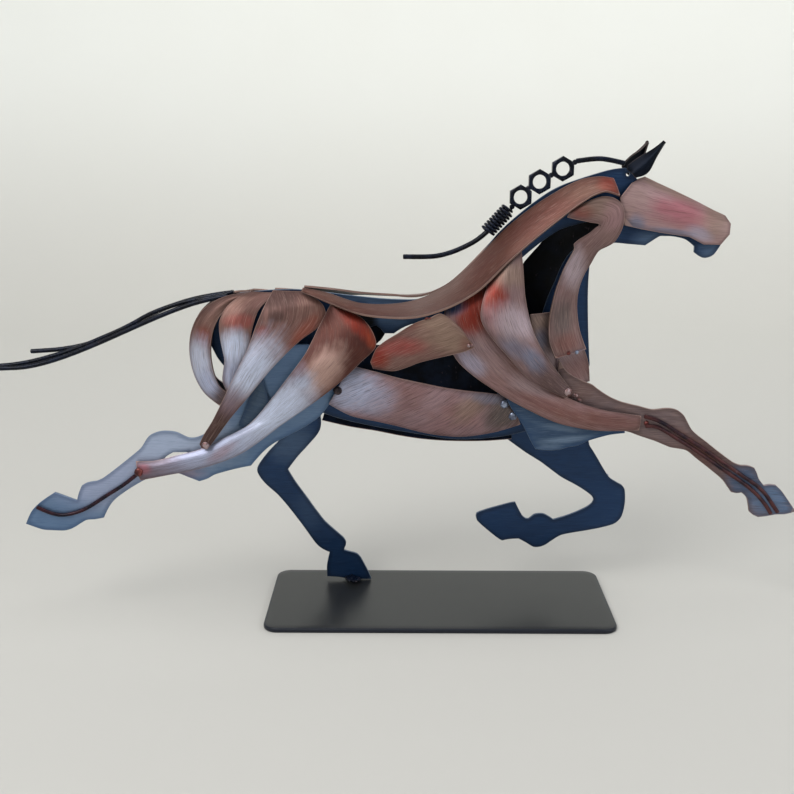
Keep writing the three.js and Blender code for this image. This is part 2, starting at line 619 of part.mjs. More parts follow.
const UPPER_TENDON = [[123, 132.5], [132.5, 129.5], [141.5, 124], [157, 114.5], [172.5, 104], [184.5, 96],
  [195.5, 88], [206, 74]];
const LOWER_TENDON = [[124, 126.5], [131.5, 125.8], [140, 121], [157, 110.3], [172.5, 99.8], [188, 89.2],
  [196.5, 81], [202, 73]];
const HIND_TENDON = [[-186, 96.5], [-193.5, 90.5], [-206, 82.5], [-219, 74.5], [-228, 71.5], [-234, 71],
  [-240, 72.5], [-248, 76.5]];
add('right_foreleg_upper_rod', tendon(UPPER_TENDON, foreDepth, RIGHT), 'bronze');
add('right_foreleg_lower_rod', tendon(LOWER_TENDON, foreDepth, RIGHT), 'bronze');
add('right_hind_leg_rod', tendon(HIND_TENDON, hindDepth, RIGHT), 'navy');

const TAIL_RODS = [
  [[-255.5, 3.3, 167], [-236, 3.3, 168.5], [-219, 3.3, 172], [-204, 3.3, 178], [-186, 3.3, 186.8],
    [-170, 3.3, 194.2], [-156, 3.3, 199], [-140, 3.3, 202.5], [-127, 3.3, 204.3]],
  [[-296, 0, 158], [-274, 0, 158.5], [-258, 0, 160.5], [-242, 0, 164.5], [-226, 0, 169.5], [-210, 0, 176],
    [-194, 0, 183], [-179, 0, 191], [-163, 0, 197], [-148, 0, 200.5], [-135, 0, 202.3], [-127, 0, 205]],
  [[-290, -3.3, 157.5], [-273, -3.3, 157.5], [-257, -3.3, 158.5], [-242, -3.3, 162], [-226, -3.3, 167.5],
    [-210, -3.3, 174], [-194, -3.3, 181], [-178, -3.3, 188], [-162, -3.3, 194.5], [-147, -3.3, 199.5],
    [-138, -3.3, 201.5], [-130, -3.3, 203]],
];
TAIL_RODS.forEach((points, i) => add(`tail_rod_${i + 1}`, bentRod(points, TAIL_ROD), 'black'));

function nut() {
  const shape = circle(NUT_ACROSS_CORNERS / 2, 6);
  shape.holes.push(circle(NUT_HOLE / 2, 12));
  const geometry = new THREE.ExtrudeGeometry(shape, { depth: NUT_HEIGHT, bevelEnabled: false });
  geometry.rotateZ(Math.PI / 6);
  geometry.translate(0, 0, -NUT_HEIGHT / 2);
  geometry.rotateX(Math.PI / 2);
  return geometry;
}

const NUT_PLACES = [[71, 278.5], [57.5, 271], [46.5, 262]];
NUT_PLACES.forEach(([x, z], i) => {
  add(`mane_nut_${i + 1}`, nut(), 'black').position.set(x, 0, z);
});

class Helix extends THREE.Curve {
  constructor(start, end, radius, turns) {
    super();
    this.start = start;
    this.axis = new THREE.Vector3().subVectors(end, start);
    this.radius = radius;
    this.turns = turns;
    this.out = new THREE.Vector3(0, 1, 0);
    this.side = new THREE.Vector3().crossVectors(this.axis, this.out).normalize();
  }

  getPoint(t, target = new THREE.Vector3()) {
    const angle = t * this.turns * 2 * Math.PI;
    return target.copy(this.start)
      .addScaledVector(this.axis, t)
      .addScaledVector(this.out, this.radius * Math.cos(angle))
      .addScaledVector(this.side, this.radius * Math.sin(angle));
  }
}

const SPRING_START = new THREE.Vector3(27, 0, 241.5);
const SPRING_END = new THREE.Vector3(40, 0, 255.5);
const springPath = new Helix(SPRING_START, SPRING_END, (SPRING_DIAMETER - SPRING_WIRE) / 2, SPRING_TURNS);
const springSteps = SPRING_TURNS * SPRING_STEPS_PER_TURN;
add('mane_spring', rod(springPath, SPRING_WIRE, { sides: 5, steps: springSteps }), 'black');

const FRONT_WIRE = [[78.6, 0, 282.9], [87, 0, 284], [93, 0, 284.3], [100, 0, 283.3], [107.5, 0, 281.6]];
const REAR_WIRE = [[-23.5, 0, 226.5], [-10, 0, 226.5], [-3, 0, 227], [5, 0, 229], [12, 0, 231.8],
  [20, 0, 236],
  [28, 0, 242.5], [38, 0, 253.3]];
add('mane_front_wire', bentRod(FRONT_WIRE, MANE_WIRE, { steps: 8 }), 'black');
add('mane_rear_wire', bentRod(REAR_WIRE, MANE_WIRE, { steps: 14 }), 'black');

// ---------------------------------------------------------------- weld that holds the planted hoof

const HOOF_WELD = { x: -57.5, halfLength: 5.5, halfWidth: 2.6, height: 4.2 };

// A lump with a flat underside, against the inner foot of the planted hoof.
function hoofWeld({ halfLength, halfWidth, height }) {
  const geometry = new THREE.SphereGeometry(1, 10, 6);
  geometry.scale(halfLength, halfWidth, height);
  const position = geometry.attributes.position;
  for (let i = 0; i < position.count; i += 1) {
    position.setZ(i, Math.max(position.getZ(i), 0));
  }
  return geometry;
}

const weldDepth = PLANTED_HOOF_DEPTH - LEG_PLATE / 2 - HOOF_WELD.halfWidth - 2 * WELD_GAP;
const hoofWeldMesh = add('hoof_weld', hoofWeld(HOOF_WELD), 'black');
hoofWeldMesh.position.set(HOOF_WELD.x, weldDepth, BASE_THICKNESS + WELD_GAP);

export default horse;
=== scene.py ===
"""Looks for the welded scrap metal horse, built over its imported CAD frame.

Every sheet, plate, rod, nut and weld is remade finer from the node that it stands for: the grid of
a curved strip, the outline of a flat plate or the path of a rod is read from the node's own solid.
All lengths are in metres, in the frame of the CAD.
"""

import json
import math
import random

import bmesh
import bpy
import numpy as np
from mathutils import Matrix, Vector, noise
from mathutils.bvhtree import BVHTree
from mathutils.geometry import delaunay_2d_cdt


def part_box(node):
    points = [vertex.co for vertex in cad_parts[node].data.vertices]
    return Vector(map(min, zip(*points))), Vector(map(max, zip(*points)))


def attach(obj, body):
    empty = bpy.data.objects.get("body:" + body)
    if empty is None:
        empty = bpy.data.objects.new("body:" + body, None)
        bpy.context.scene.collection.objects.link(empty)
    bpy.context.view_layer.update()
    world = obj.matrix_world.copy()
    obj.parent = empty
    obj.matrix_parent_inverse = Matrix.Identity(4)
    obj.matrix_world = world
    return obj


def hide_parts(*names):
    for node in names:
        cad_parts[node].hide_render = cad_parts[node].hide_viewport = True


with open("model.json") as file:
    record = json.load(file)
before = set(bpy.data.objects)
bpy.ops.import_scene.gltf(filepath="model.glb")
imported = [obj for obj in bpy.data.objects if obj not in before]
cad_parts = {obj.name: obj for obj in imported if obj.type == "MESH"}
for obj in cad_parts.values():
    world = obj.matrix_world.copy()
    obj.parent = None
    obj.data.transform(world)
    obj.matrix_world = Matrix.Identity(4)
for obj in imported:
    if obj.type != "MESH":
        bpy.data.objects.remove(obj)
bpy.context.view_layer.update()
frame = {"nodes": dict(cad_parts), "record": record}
SLOTS = {part["node"]: part["material_slot"] for part in frame["record"]["subparts"]}
MM = 0.001
RIGHT, LEFT = -1, 1
SHEET = 1.3 * MM
LEG_PLATE = 2.0 * MM
SAME = 0.0006 * MM
TINY = 1e-9
FLAT = math.radians(2)
ROD_SIDES = 6

# ------------------------------------------------------------------ reading the solids


def middle_of(node):
    low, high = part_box(node)
    return (low + high) / 2


def side_of(node):
    return RIGHT if middle_of(node).y < 0 else LEFT


def place_on(node, across, up):
    """A place across and up a node's box, halfway through it."""
    low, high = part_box(node)
    x, z = low.x + across * (high.x - low.x), low.z + up * (high.z - low.z)
    return Vector((x, middle_of(node).y, z))


def in_order(things):
    """Vertices or faces in the order of the mesh, so that each run gives the same result."""
    return sorted(things, key=lambda thing: thing.index)


def welded(node):
    """The node's solid with shared corners joined."""
    solid = bmesh.new()
    solid.from_mesh(frame["nodes"][node].data)
    bmesh.ops.remove_doubles(solid, verts=solid.verts, dist=0.01 * MM)
    solid.verts.index_update()
    solid.faces.index_update()
    return solid


def patch_around(face, joined):
    """A face and all the faces that are reached from it over joined edges."""
    patch, stack = {face}, [face]
    while stack:
        for edge in stack.pop().edges:
            fresh = {other for other in edge.link_faces if joined(edge, other)} - patch
            patch |= fresh
            stack += fresh
    return in_order(patch)


def corners_of(faces):
    return in_order({v for f in faces for v in f.verts})


def skins(solid, is_rim):
    """The two largest connected groups of the faces that aren't rim."""
    left = {f for f in solid.faces if not is_rim(f)}
    groups = []
    for face in solid.faces:
        if face in left:
            groups.append(patch_around(face, lambda edge, other: other in left))
            left -= set(groups[-1])
    return sorted(groups, key=lambda g: -sum(f.calc_area() for f in g))[:2]


def boundary_loops(group):
    """Closed loops of the vertices around a group of faces."""
    faces, follow = set(group), {}
    for face in group:
        for loop in face.loops:
            if any(other not in faces for other in loop.edge.link_faces):
                follow[loop.vert] = loop.link_loop_next.vert
    loops = []
    while follow:
        start, here = next(iter(follow.items()))
        loop = [start]
        del follow[start]
        while here is not start:
            loop.append(here)
            here = follow.pop(here)
        loops.append(loop)
    return loops


def wraps(node):
    """Whether a sheet is folded over both sides of the horse."""
    low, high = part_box(node)
    return low.y < 0 < high.y and abs(low.y + high.y) < 0.2 * (high.y - low.y)


def outward(faces, node):
    """Mean distance of faces from the middle plate, to tell the outer skin from the inner one."""
    depths = [v.co.y for f in faces for v in f.verts]
    return side_of(node) * sum(depths) / len(depths)


def outer_skin(solid, node):
    """The faces of a bent sheet's outer side."""
    across_rim = {e for e in solid.edges if abs(e.calc_length() - SHEET) < SAME}
    groups = skins(solid, lambda f: any(e in across_rim for e in f.edges))
    return groups[0] if wraps(node) else max(groups, key=lambda g: outward(g, node))


def row_between(path, end, short_side, allowed):
    """A row of vertices over allowed ones that starts with a path and has a given number of steps."""
    if path[-1] is end:
        return path if len(path) == short_side + 1 else None
    if len(path) <= short_side:
        for edge in path[-1].link_edges:
            other = edge.other_vert(path[-1])
            if other in allowed and other not in path:
                found = row_between(path + [other], end, short_side, allowed)
                if found:
                    return found
    return None


def strip_rows(node):
    """The grid of points on the outer skin of a curved sheet: rows along it, each from edge to edge."""
    solid = welded(node)
    skin = set(outer_skin(solid, node))
    verts = set(corners_of(skin))
    loop = boundary_loops(in_order(skin))[0]
    half = len(loop) // 2
    root = math.sqrt((half + 2) ** 2 - 4 * len(verts))
    long_side = round((half + 2 + root) / 2) - 1
    faces_at = [sum(1 for f in v.link_faces if f in skin) for v in loop]

    def corner_faces(k):
        corners = (k, k + long_side, k + half, k + half + long_side)
        return sum(faces_at[c % len(loop)] for c in corners)

    first = min(range(len(loop)), key=corner_faces)
    loop = loop[first:] + loop[:first]
    rows = []
    for i in range(long_side + 1):
        end = loop[(half + long_side - i) % len(loop)]
        rows.append(row_between([loop[i]], end, half - long_side, verts))
    grid = np.array([[v.co[:] for v in row] for row in rows])
    solid.free()
    return grid


def plate_outline(node, thickness):
    """Outline and hole loops of a flat plate's outer cap, and its depth y as a plane over x and z."""
    solid = welded(node)

    def is_rim(face):
        return any(
            abs(abs(e.verts[0].co.y - e.verts[1].co.y) - thickness) < SAME
            and abs(e.calc_length() - thickness) < SAME
            for e in face.edges
        )

    cap = max(skins(solid, is_rim), key=lambda g: outward(g, node))
    points = np.array([v.co[:] for v in corners_of(cap)])
    matrix = np.c_[np.ones(len(points)), points[:, 0], points[:, 2]]
    plane = np.linalg.lstsq(matrix, points[:, 1], rcond=None)[0]
    loops = [np.array([[v.co.x, v.co.z] for v in loop]) for loop in boundary_loops(cap)]
    solid.free()
    return sorted(loops, key=lambda l: -abs(loop_area(l))), plane


def ring_measure(ring):
    """Centre of a ring of vertices, and each one's distance from it."""
    centre = sum((v.co for v in ring), Vector()) / len(ring)
    return centre, [(v.co - centre).length for v in ring]


def rod_path(node):
    """Centres of the rings of a rod, from its first flat end, and its radius."""
    solid = welded(node)
    for face in solid.faces:
        ring = corners_of(patch_around(face, lambda edge, other: edge.calc_face_angle(1) < FLAT))
        spread = ring_measure(ring)[1]
        if len(ring) == ROD_SIDES and max(spread) < 1.05 * min(spread):
            break
    centres, seen = [], set()
    while ring:
        centre, spread = ring_measure(ring)
        centres.append(centre)
        radius = sum(spread) / len(ring)
        seen |= set(ring)
        ring = in_order({e.other_vert(v) for v in ring for e in v.link_edges} - seen)
    solid.free()
    return np.array([c[:] for c in centres]), radius


# ------------------------------------------------------------------ curves and grids


def refined(points, pieces, rounded=True):
    """A line through the first axis of an array, each span cut in pieces: Catmull-Rom, or straight."""
    first = 2 * points[0] - points[1]
    last = 2 * points[-1] - points[-2]
    p = np.concatenate([first[None], points, last[None]])
    out = []
    for i in range(1, len(p) - 2):
        for step in range(pieces):
            t = step / pieces
            a = 2 * p[i]
            b = p[i + 1] - p[i - 1]
            c = 2 * p[i - 1] - 5 * p[i] + 4 * p[i + 1] - p[i + 2]
            d = 3 * p[i] - p[i - 1] - 3 * p[i + 1] + p[i + 2]
            curved = (a + b * t + c * t * t + d * t ** 3) / 2
            out.append(curved if rounded else p[i] + (p[i + 1] - p[i]) * t)
    out.append(points[-1])
    return np.array(out)


def loop_area(loop):
    x, z = loop[:, 0], loop[:, 1]
    return float(np.sum(x * np.roll(z, -1) - z * np.roll(x, -1)) / 2)


CORNER_TURN = math.radians(33)
OUTLINE_STEP = 1.3 * MM


def smooth_loop(loop):
    """The same closed outline with its curved stretches rounded and its corners kept."""
    count = len(loop)
    turn = []
    for i in range(count):
        before = loop[i] - loop[i - 1]
        after = loop[(i + 1) % count] - loop[i]
        cross = before[0] * after[1] - before[1] * after[0]
        turn.append(abs(math.atan2(cross, float(before @ after))))
    out = []
    for i in range(count):
        a, b = loop[i], loop[(i + 1) % count]
        before = 2 * a - b if turn[i] > CORNER_TURN else loop[i - 1]
        after = 2 * b - a if turn[(i + 1) % count] > CORNER_TURN else loop[(i + 2) % count]
        span = np.linalg.norm(b - a)
        before = a + (before - a) * min(1, span / max(TINY, np.linalg.norm(before - a)))
        after = b + (after - b) * min(1, span / max(TINY, np.linalg.norm(after - b)))
        for step in range(max(1, round(span / OUTLINE_STEP))):
            t = step / max(1, round(span / OUTLINE_STEP))
            c = 2 * before - 5 * a + 4 * b - after
            d = 3 * a - before - 3 * b + after
            out.append((2 * a + (b - before) * t + c * t * t + d * t ** 3) / 2)
    return np.array(out)


def inset_loop(loop, distance):
    """The closed outline moved to its left, which is inwards on an outline that runs anticlockwise."""
    along = np.roll(loop, -1, axis=0) - np.roll(loop, 1, axis=0)
    along /= np.maximum(np.linalg.norm(along, axis=1), TINY)[:, None]
    return loop + distance * np.c_[-along[:, 1], along[:, 0]]


def inside(points, loops):
    """Whether each point is inside an outline and outside its holes."""
    result = np.zeros(len(points), bool)
    for loop in loops:
        a, b = loop, np.roll(loop, -1, axis=0)
        for (ax, az), (bx, bz) in zip(a, b):
            if az == bz:
                continue
            crosses = (points[:, 1] < az) != (points[:, 1] < bz)
            x = ax + (points[:, 1] - az) * (bx - ax) / (bz - az)
            result ^= crosses & (points[:, 0] < x)
    return result


# ------------------------------------------------------------------ making pieces


def new_piece(name, points, faces, uv, edge, smooth_angle=40):
    """A closed mesh with its uv in metres and each point's distance from the nearest cut edge."""
    mesh = bpy.data.meshes.new(name)
    mesh.from_pydata([tuple(p) for p in points], [], [tuple(f) for f in faces])
    mesh.validate()
    layer = mesh.uv_layers.new(name="along")
    for loop in mesh.loops:
        layer.data[loop.index].uv = uv[loop.vertex_index]
    mesh.attributes.new("edge", "FLOAT", "POINT").data.foreach_set("value", list(edge))
    piece = bpy.data.objects.new(name, mesh)
    bpy.context.scene.collection.objects.link(piece)
    mesh.shade_smooth()
    mesh.set_sharp_from_angle(angle=math.radians(smooth_angle))
    shape = bmesh.new()
    shape.from_mesh(mesh)
    bmesh.ops.recalc_face_normals(shape, faces=shape.faces)
    shape.to_mesh(mesh)
    shape.free()
    return piece


def dress(piece, materials, slot, *nodes):
    """Gives a piece its materials and body, and hides the CAD nodes that it stands for. The slot is not
    used.
    """
    for material in materials:
        piece.data.materials.append(material)
    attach(piece, "root")
    if nodes:
        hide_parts(*nodes)


def bands(starts, count):
    """Quads between closed rings of count points, which begin at these indices."""
    return [
        (a + k, a + (k + 1) % count, b + (k + 1) % count, b + k)
        for a, b in zip(starts, starts[1:])
        for k in range(count)
    ]


def waviness(point, amount, scale):
    """A slow rise and fall of hand-bent sheet."""
    return amount * noise.noise(Vector(point) * scale)


BEVEL = 0.28 * MM
SHEET_WAVE, SHEET_WAVES_PER_M = 0.22 * MM, 45
CUTS_ALONG = 3
COLUMNS = 12


def fine_grid(node, rounded):
    """A sheet's grid with more rows, and about as many columns on every sheet."""
    grid = refined(strip_rows(node), CUTS_ALONG, rounded).transpose(1, 0, 2)
    cuts = max(2, round(COLUMNS / (len(grid) - 1)))
    return refined(grid, cuts, rounded).transpose(1, 0, 2)


def sheet_normals(grid, node):
    """Unit normals of a grid, away from the middle of the horse."""
    normal = np.cross(np.gradient(grid, axis=0), np.gradient(grid, axis=1))
    normal /= np.linalg.norm(normal, axis=2)[:, :, None]
    away = grid - grid.mean(axis=(0, 1)) if wraps(node) else grid * (0, 1, 0)
    return -normal if np.sum(normal * away) < 0 else normal


def sheet_measures(grid):
    """Distances along and across a grid, and of each point from the nearest cut edge."""
    step_u = np.linalg.norm(np.diff(grid, axis=0), axis=2).mean(axis=1)
    step_v = np.linalg.norm(np.diff(grid, axis=1), axis=2)
    u = np.concatenate([[0], np.cumsum(step_u)])
    v = np.concatenate([np.zeros((len(grid), 1)), np.cumsum(step_v, axis=1)], axis=1)
    v -= v[:, -1:] / 2
    sides = np.minimum(v - v[:, :1], v[:, -1:] - v)
    return u, v, np.minimum(sides, np.minimum(u, u[-1] - u)[:, None])


def sheet_faces(count, width):
    """Quads of two skins of count by width points, and of the rim between them."""

    def at(skin, i, j):
        return (skin * count + i) * width + j

    faces = []
    for i in range(count - 1):
        for j in range(width - 1):
            faces.append((at(0, i, j), at(0, i, j + 1), at(0, i + 1, j + 1), at(0, i + 1, j)))
            faces.append((at(1, i, j), at(1, i + 1, j), at(1, i + 1, j + 1), at(1, i, j + 1)))
        for j, turn in ((0, 1), (width - 1, -1)):
            faces.append((at(0, i, j), at(0, i + 1, j), at(1, i + 1, j), at(1, i, j))[::turn])
    for j in range(width - 1):
        for i, turn in ((0, -1), (count - 1, 1)):
            faces.append((at(0, i, j), at(0, i, j + 1), at(1, i, j + 1), at(1, i, j))[::turn])
    return faces


def round_rims(piece):
    rim = piece.modifiers.new("rim", "BEVEL")
    rim.width = BEVEL
    rim.segments = 2
    rim.limit_method = "ANGLE"
    rim.angle_limit = math.radians(50)


def strip_piece(node, material, lining, rounded=True):
    """A curved sheet: the node's grid made fine, with rounded rims and a little unevenness.

    Its outer skin and rims have one material, and its inner skin the lining.
    """
    grid = fine_grid(node, rounded)
    count, width = grid.shape[:2]
    normal = sheet_normals(grid, node)
    u, v, edge = sheet_measures(grid)
    points, uv = [], []
    for skin in (0, 1):
        for i in range(count):
            for j in range(width):
                wave = waviness(grid[i, j], SHEET_WAVE, SHEET_WAVES_PER_M) - SHEET_WAVE / 2
                points.append(grid[i, j] + normal[i, j] * (wave - skin * SHEET))
                uv.append((u[i], v[i, j]))
    edges = np.concatenate([edge.ravel(), edge.ravel()])
    piece = new_piece(node + "_sheet", points, sheet_faces(count, width), uv, edges)
    inner = [int(min(face.vertices) >= count * width) for face in piece.data.polygons]
    dress(piece, (material, lining), SLOTS[node], node)
    piece.data.polygons.foreach_set("material_index", inner)
    round_rims(piece)


PLATE_GRID = 3.0 * MM
GRID_MARGIN = 0.45 * PLATE_GRID
PLATE_WAVE, PLATE_WAVES_PER_M = 0.25 * MM, 40
MERGE = 1e-7


def smooth_loops(loops, hole_inset):
    """A plate's loops made smooth, its outline anticlockwise and its holes clockwise."""
    fine = []
    for k, loop in enumerate(loops):
        smooth = smooth_loop(loop)
        if (loop_area(smooth) > 0) != (k == 0):
            smooth = smooth[::-1]
        fine.append(inset_loop(smooth, -hole_inset) if k else smooth)
    return fine


def plate_cap(fine):
    """A net of triangles inside a plate's chamfered loops.

    Gives its points, their distances from the edge, its triangles and where each loop's points went.
    """
    inner = [inset_loop(loop, BEVEL) for loop in fine]
    low, high = fine[0].min(axis=0), fine[0].max(axis=0)
    xs = np.arange(low[0], high[0], PLATE_GRID)
    zs = np.arange(low[1], high[1], PLATE_GRID * math.sqrt(3) / 2)
    grid = np.array([(x + (k % 2) * PLATE_GRID / 2, z) for k, z in enumerate(zs) for x in xs])
    outline = np.concatenate(inner)
    distance = np.array([np.min(np.hypot(*(outline - p).T)) for p in grid])
    keep = inside(grid, inner) & (distance > GRID_MARGIN)
    flat = np.concatenate([outline, grid[keep]])
    near = np.concatenate([np.full(len(outline), BEVEL), distance[keep]])
    borders, start = [], 0
    for loop in inner:
        borders += [(start + i, start + (i + 1) % len(loop)) for i in range(len(loop))]
        start += len(loop)
    made = delaunay_2d_cdt([Vector(p) for p in flat], borders, [], 0, MERGE)
    centre = np.array([np.mean([made[0][i][:] for i in f], axis=0) for f in made[2]])
    triangles = [tuple(f) for f, ok in zip(made[2], inside(centre, inner)) if ok]
    source = [group[0] if group else None for group in made[3]]
    edges = [BEVEL if s is None else near[s] for s in source]
    place = {s: i for i, s in enumerate(source) if s is not None}
    return [p[:] for p in made[0]], edges, triangles, place


def plate_piece(node, material, thickness, dents=(), hole_inset=0.0):
    """A flat plate: the node's outline made smooth, chamfered, and slightly uneven, with any dents."""
    loops, plane = plate_outline(node, thickness)
    side = side_of(node)
    fine = smooth_loops(loops, hole_inset)
    cap, cap_edges, triangles, place = plate_cap(fine)
    hollows = [(place_on(node, x, z), radius * MM, deep * MM) for x, z, radius, deep in dents]

    def solid_point(p, depth):
        y = plane[0] + plane[1] * p[0] + plane[2] * p[1] - side * depth
        y += waviness((p[0], 0, p[1]), PLATE_WAVE, PLATE_WAVES_PER_M)
        for middle, radius, deep in hollows:
            away = math.hypot(p[0] - middle.x, p[1] - middle.z) / radius
            y -= side * deep * math.exp(-away * away)
        return (p[0], y, p[1])

    size = len(cap)
    points = [solid_point(p, depth) for depth in (0, thickness) for p in cap]
    edges = cap_edges * 2
    faces = triangles + [tuple(size + i for i in reversed(f)) for f in triangles]
    start = 0
    for loop in fine:
        ring = len(points)
        points += [solid_point(p, depth) for depth in (BEVEL, thickness - BEVEL) for p in loop]
        edges += [0.0] * (2 * len(loop))
        for i in range(len(loop)):
            j = (i + 1) % len(loop)
            a, b = place[start + i], place[start + j]
            c, d = ring + i, ring + j
            e, f = c + len(loop), d + len(loop)
            faces += [(a, b, d, c), (c, d, f, e), (e, f, size + b, size + a)]
        start += len(loop)
    uv = [(p[0], p[2]) for p in points]
    piece = new_piece(node + "_plate", points, faces, uv, edges, smooth_angle=60)
    dress(piece, [material], SLOTS[node], node)


def tube_rings(path, radius, sides):
    """Points of a tube around a path, ring by ring, without twist."""
    tangent = np.gradient(path, axis=0)
    tangent /= np.linalg.norm(tangent, axis=1)[:, None]
    up = np.cross(tangent[0], (0, 1, 0.01))
    rings = []
    for centre, along in zip(path, tangent):
        up = up - along * (up @ along)
        up /= np.linalg.norm(up)
        out = np.cross(along, up)
        turn = np.linspace(0, 2 * math.pi, sides, endpoint=False)
        rings.append(centre + radius * (np.cos(turn)[:, None] * up + np.sin(turn)[:, None] * out))
    return rings


ROUND_SIDES = 14
ROD_CUTS = 4
EASED = 0.25


def rod_piece(node, material):
    """A round rod or wire along the node's path, with eased ends."""
    path, radius = rod_path(node)
    path = refined(path, ROD_CUTS)
    ease = EASED * radius
    first, last = path[1] - path[0], path[-1] - path[-2]
    start = path[0] + ease * first / np.linalg.norm(first)
    end = path[-1] - ease * last / np.linalg.norm(last)
    path = np.concatenate([[path[0], start], path[1:-1], [end, path[-1]]])
    rings = tube_rings(path, radius, ROUND_SIDES)
    for k in (0, -1):
        rings[k] = path[k] + (1 - EASED) * (rings[k] - path[k])
    points = np.concatenate(rings)
    length = np.concatenate([[0], np.cumsum(np.linalg.norm(np.diff(path, axis=0), axis=1))])
    around = 2 * math.pi * radius / ROUND_SIDES
    uv = [(along, k * around) for along in length for k in range(ROUND_SIDES)]
    starts = range(0, len(points), ROUND_SIDES)
    faces = bands(starts, ROUND_SIDES)
    faces.append(tuple(range(ROUND_SIDES))[::-1])
    faces.append(tuple(range(starts[-1], len(points))))
    piece = new_piece(node + "_round", points, faces, uv, [radius] * len(points))
    dress(piece, [material], SLOTS[node], node)


# ------------------------------------------------------------------ nuts, base and welds

AROUND_NUT = 96
NUT_CHAMFER, CHAMFER_SLOPE = 0.96, 0.62
NUT_HOLE = 0.64
HOLE_LIP = 0.55 * MM
THREAD_PITCH, THREAD_RISE, THREAD_ROWS = 1.25 * MM, 0.7 * MM, 25


def nut_piece(node, material):
    """A hexagon nut standing on a corner: chamfered faces and a threaded hole."""
    low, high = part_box(node)
    centre = middle_of(node)
    flat = (high.x - low.x) / 2
    half = (high.y - low.y) / 2
    chamfer, hole = NUT_CHAMFER * flat, NUT_HOLE * flat
    points, rows = [], []

    def ring(radius_at, y_at):
        rows.append(len(points))
        for k in range(AROUND_NUT):
            angle = 2 * math.pi * k / AROUND_NUT
            radius = radius_at(angle)
            way = Vector((radius * math.sin(angle), y_at(radius), radius * math.cos(angle)))
            points.append(centre + way)

    def hexagon(angle):
        turn = (angle + math.pi / 6) % (math.pi / 3) - math.pi / 6
        return flat / math.cos(math.pi / 6 - abs(turn))

    def cone(radius):
        return half - max(0.0, radius - chamfer) * CHAMFER_SLOPE

    ring(lambda a: hole + HOLE_LIP, lambda r: half)
    ring(lambda a: chamfer, lambda r: half)
    ring(hexagon, cone)
    ring(hexagon, lambda r: -cone(r))
    ring(lambda a: chamfer, lambda r: -half)
    ring(lambda a: hole + HOLE_LIP, lambda r: -half)
    for row in range(THREAD_ROWS):
        y = -half + 2 * half * (row + 0.5) / THREAD_ROWS

        def thread(angle, y=y):
            phase = (y / THREAD_PITCH + angle / (2 * math.pi)) % 1
            return hole + THREAD_RISE * abs(phase - 0.5)

        ring(thread, lambda r, y=y: y)
    uv = [(p.x, p.z) for p in points]
    edge = [abs(math.hypot(p.x - centre.x, p.z - centre.z) - chamfer) for p in points]
    faces = bands(rows + rows[:1], AROUND_NUT)
    piece = new_piece(node + "_hexagon", points, faces, uv, edge, smooth_angle=28)
    dress(piece, [material], SLOTS[node], node)


BASE_CORNER, BASE_ROUND = 9 * MM, 0.9 * MM
BASE_INSET = 0.6 * BASE_CORNER
CORNER_STEPS, ROUND_STEPS = 12, 4


def base_piece(node, material):
    """The flat base: rounded corners, and an eased rim above and below."""
    low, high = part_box(node)
    centre, half = middle_of(node), (high - low) / 2
    points, rows = [], []

    def ring(inset, z):
        rows.append(len(points))
        radius = BASE_CORNER - inset
        for corner, (sx, sy) in enumerate(((1, 1), (-1, 1), (-1, -1), (1, -1))):
            for k in range(CORNER_STEPS + 1):
                angle = math.pi / 2 * (corner + k / CORNER_STEPS)
                x = sx * (half.x - BASE_CORNER) + radius * math.cos(angle)
                y = sy * (half.y - BASE_CORNER) + radius * math.sin(angle)
                points.append((centre.x + x, centre.y + y, z))

    turns = [math.pi / 2 * k / ROUND_STEPS for k in range(ROUND_STEPS + 1)]
    ring(BASE_INSET, low.z)
    for turn in turns:
        ring(BASE_ROUND * (1 - math.sin(turn)), low.z + BASE_ROUND * (1 - math.cos(turn)))
    for turn in turns:
        ring(BASE_ROUND * (1 - math.cos(turn)), high.z - BASE_ROUND * (1 - math.sin(turn)))
    ring(BASE_INSET, high.z)
    count = rows[1]
    faces = [tuple(range(count))[::-1], tuple(range(rows[-1], rows[-1] + count))]
    faces += bands(rows, count)
    uv = [(p[0], p[1]) for p in points]
    edge = [0.0] * (len(points) - count) + [BASE_INSET] * count
    piece = new_piece(node + "_slab", points, faces, uv, edge, smooth_angle=30)
    dress(piece, [material], SLOTS[node], node)


LUMP_ROWS, LUMP_SIDES = 14, 26
LUMP_DEPTH = 0.72 * math.pi
BROAD_SWELL, FINE_SWELL = 1.6, 4


def lump(centre, normal, radii, seed, rough=0.16):
    """Points and faces of a half-melted drop of weld metal, sitting on a surface with its normal."""
    normal = Vector(normal).normalized()
    side = normal.cross(Vector((0.3, 0.1, 1))).normalized()
    other = normal.cross(side)
    shift = Vector((seed * 3.7, seed * 1.3, seed * 2.1))
    points = []
    for i in range(LUMP_ROWS):
        polar = LUMP_DEPTH * (0.02 + 0.98 * i / (LUMP_ROWS - 1))
        for k in range(LUMP_SIDES):
            angle = 2 * math.pi * k / LUMP_SIDES
            out = math.sin(polar)
            way = Vector((out * math.cos(angle), out * math.sin(angle), math.cos(polar)))
            swell = noise.noise(way * BROAD_SWELL + shift) + 0.4 * noise.noise(way * FINE_SWELL + shift)
            way *= 1 + rough * swell
            across = side * way.x * radii[0] + other * way.y * radii[1]
            points.append(Vector(centre) + across + normal * way.z * radii[2])
    starts = range(0, len(points), LUMP_SIDES)
    faces = bands(starts, LUMP_SIDES)
    faces.append(tuple(range(LUMP_SIDES))[::-1])
    faces.append(tuple(range(starts[-1], len(points))))
    return points, faces


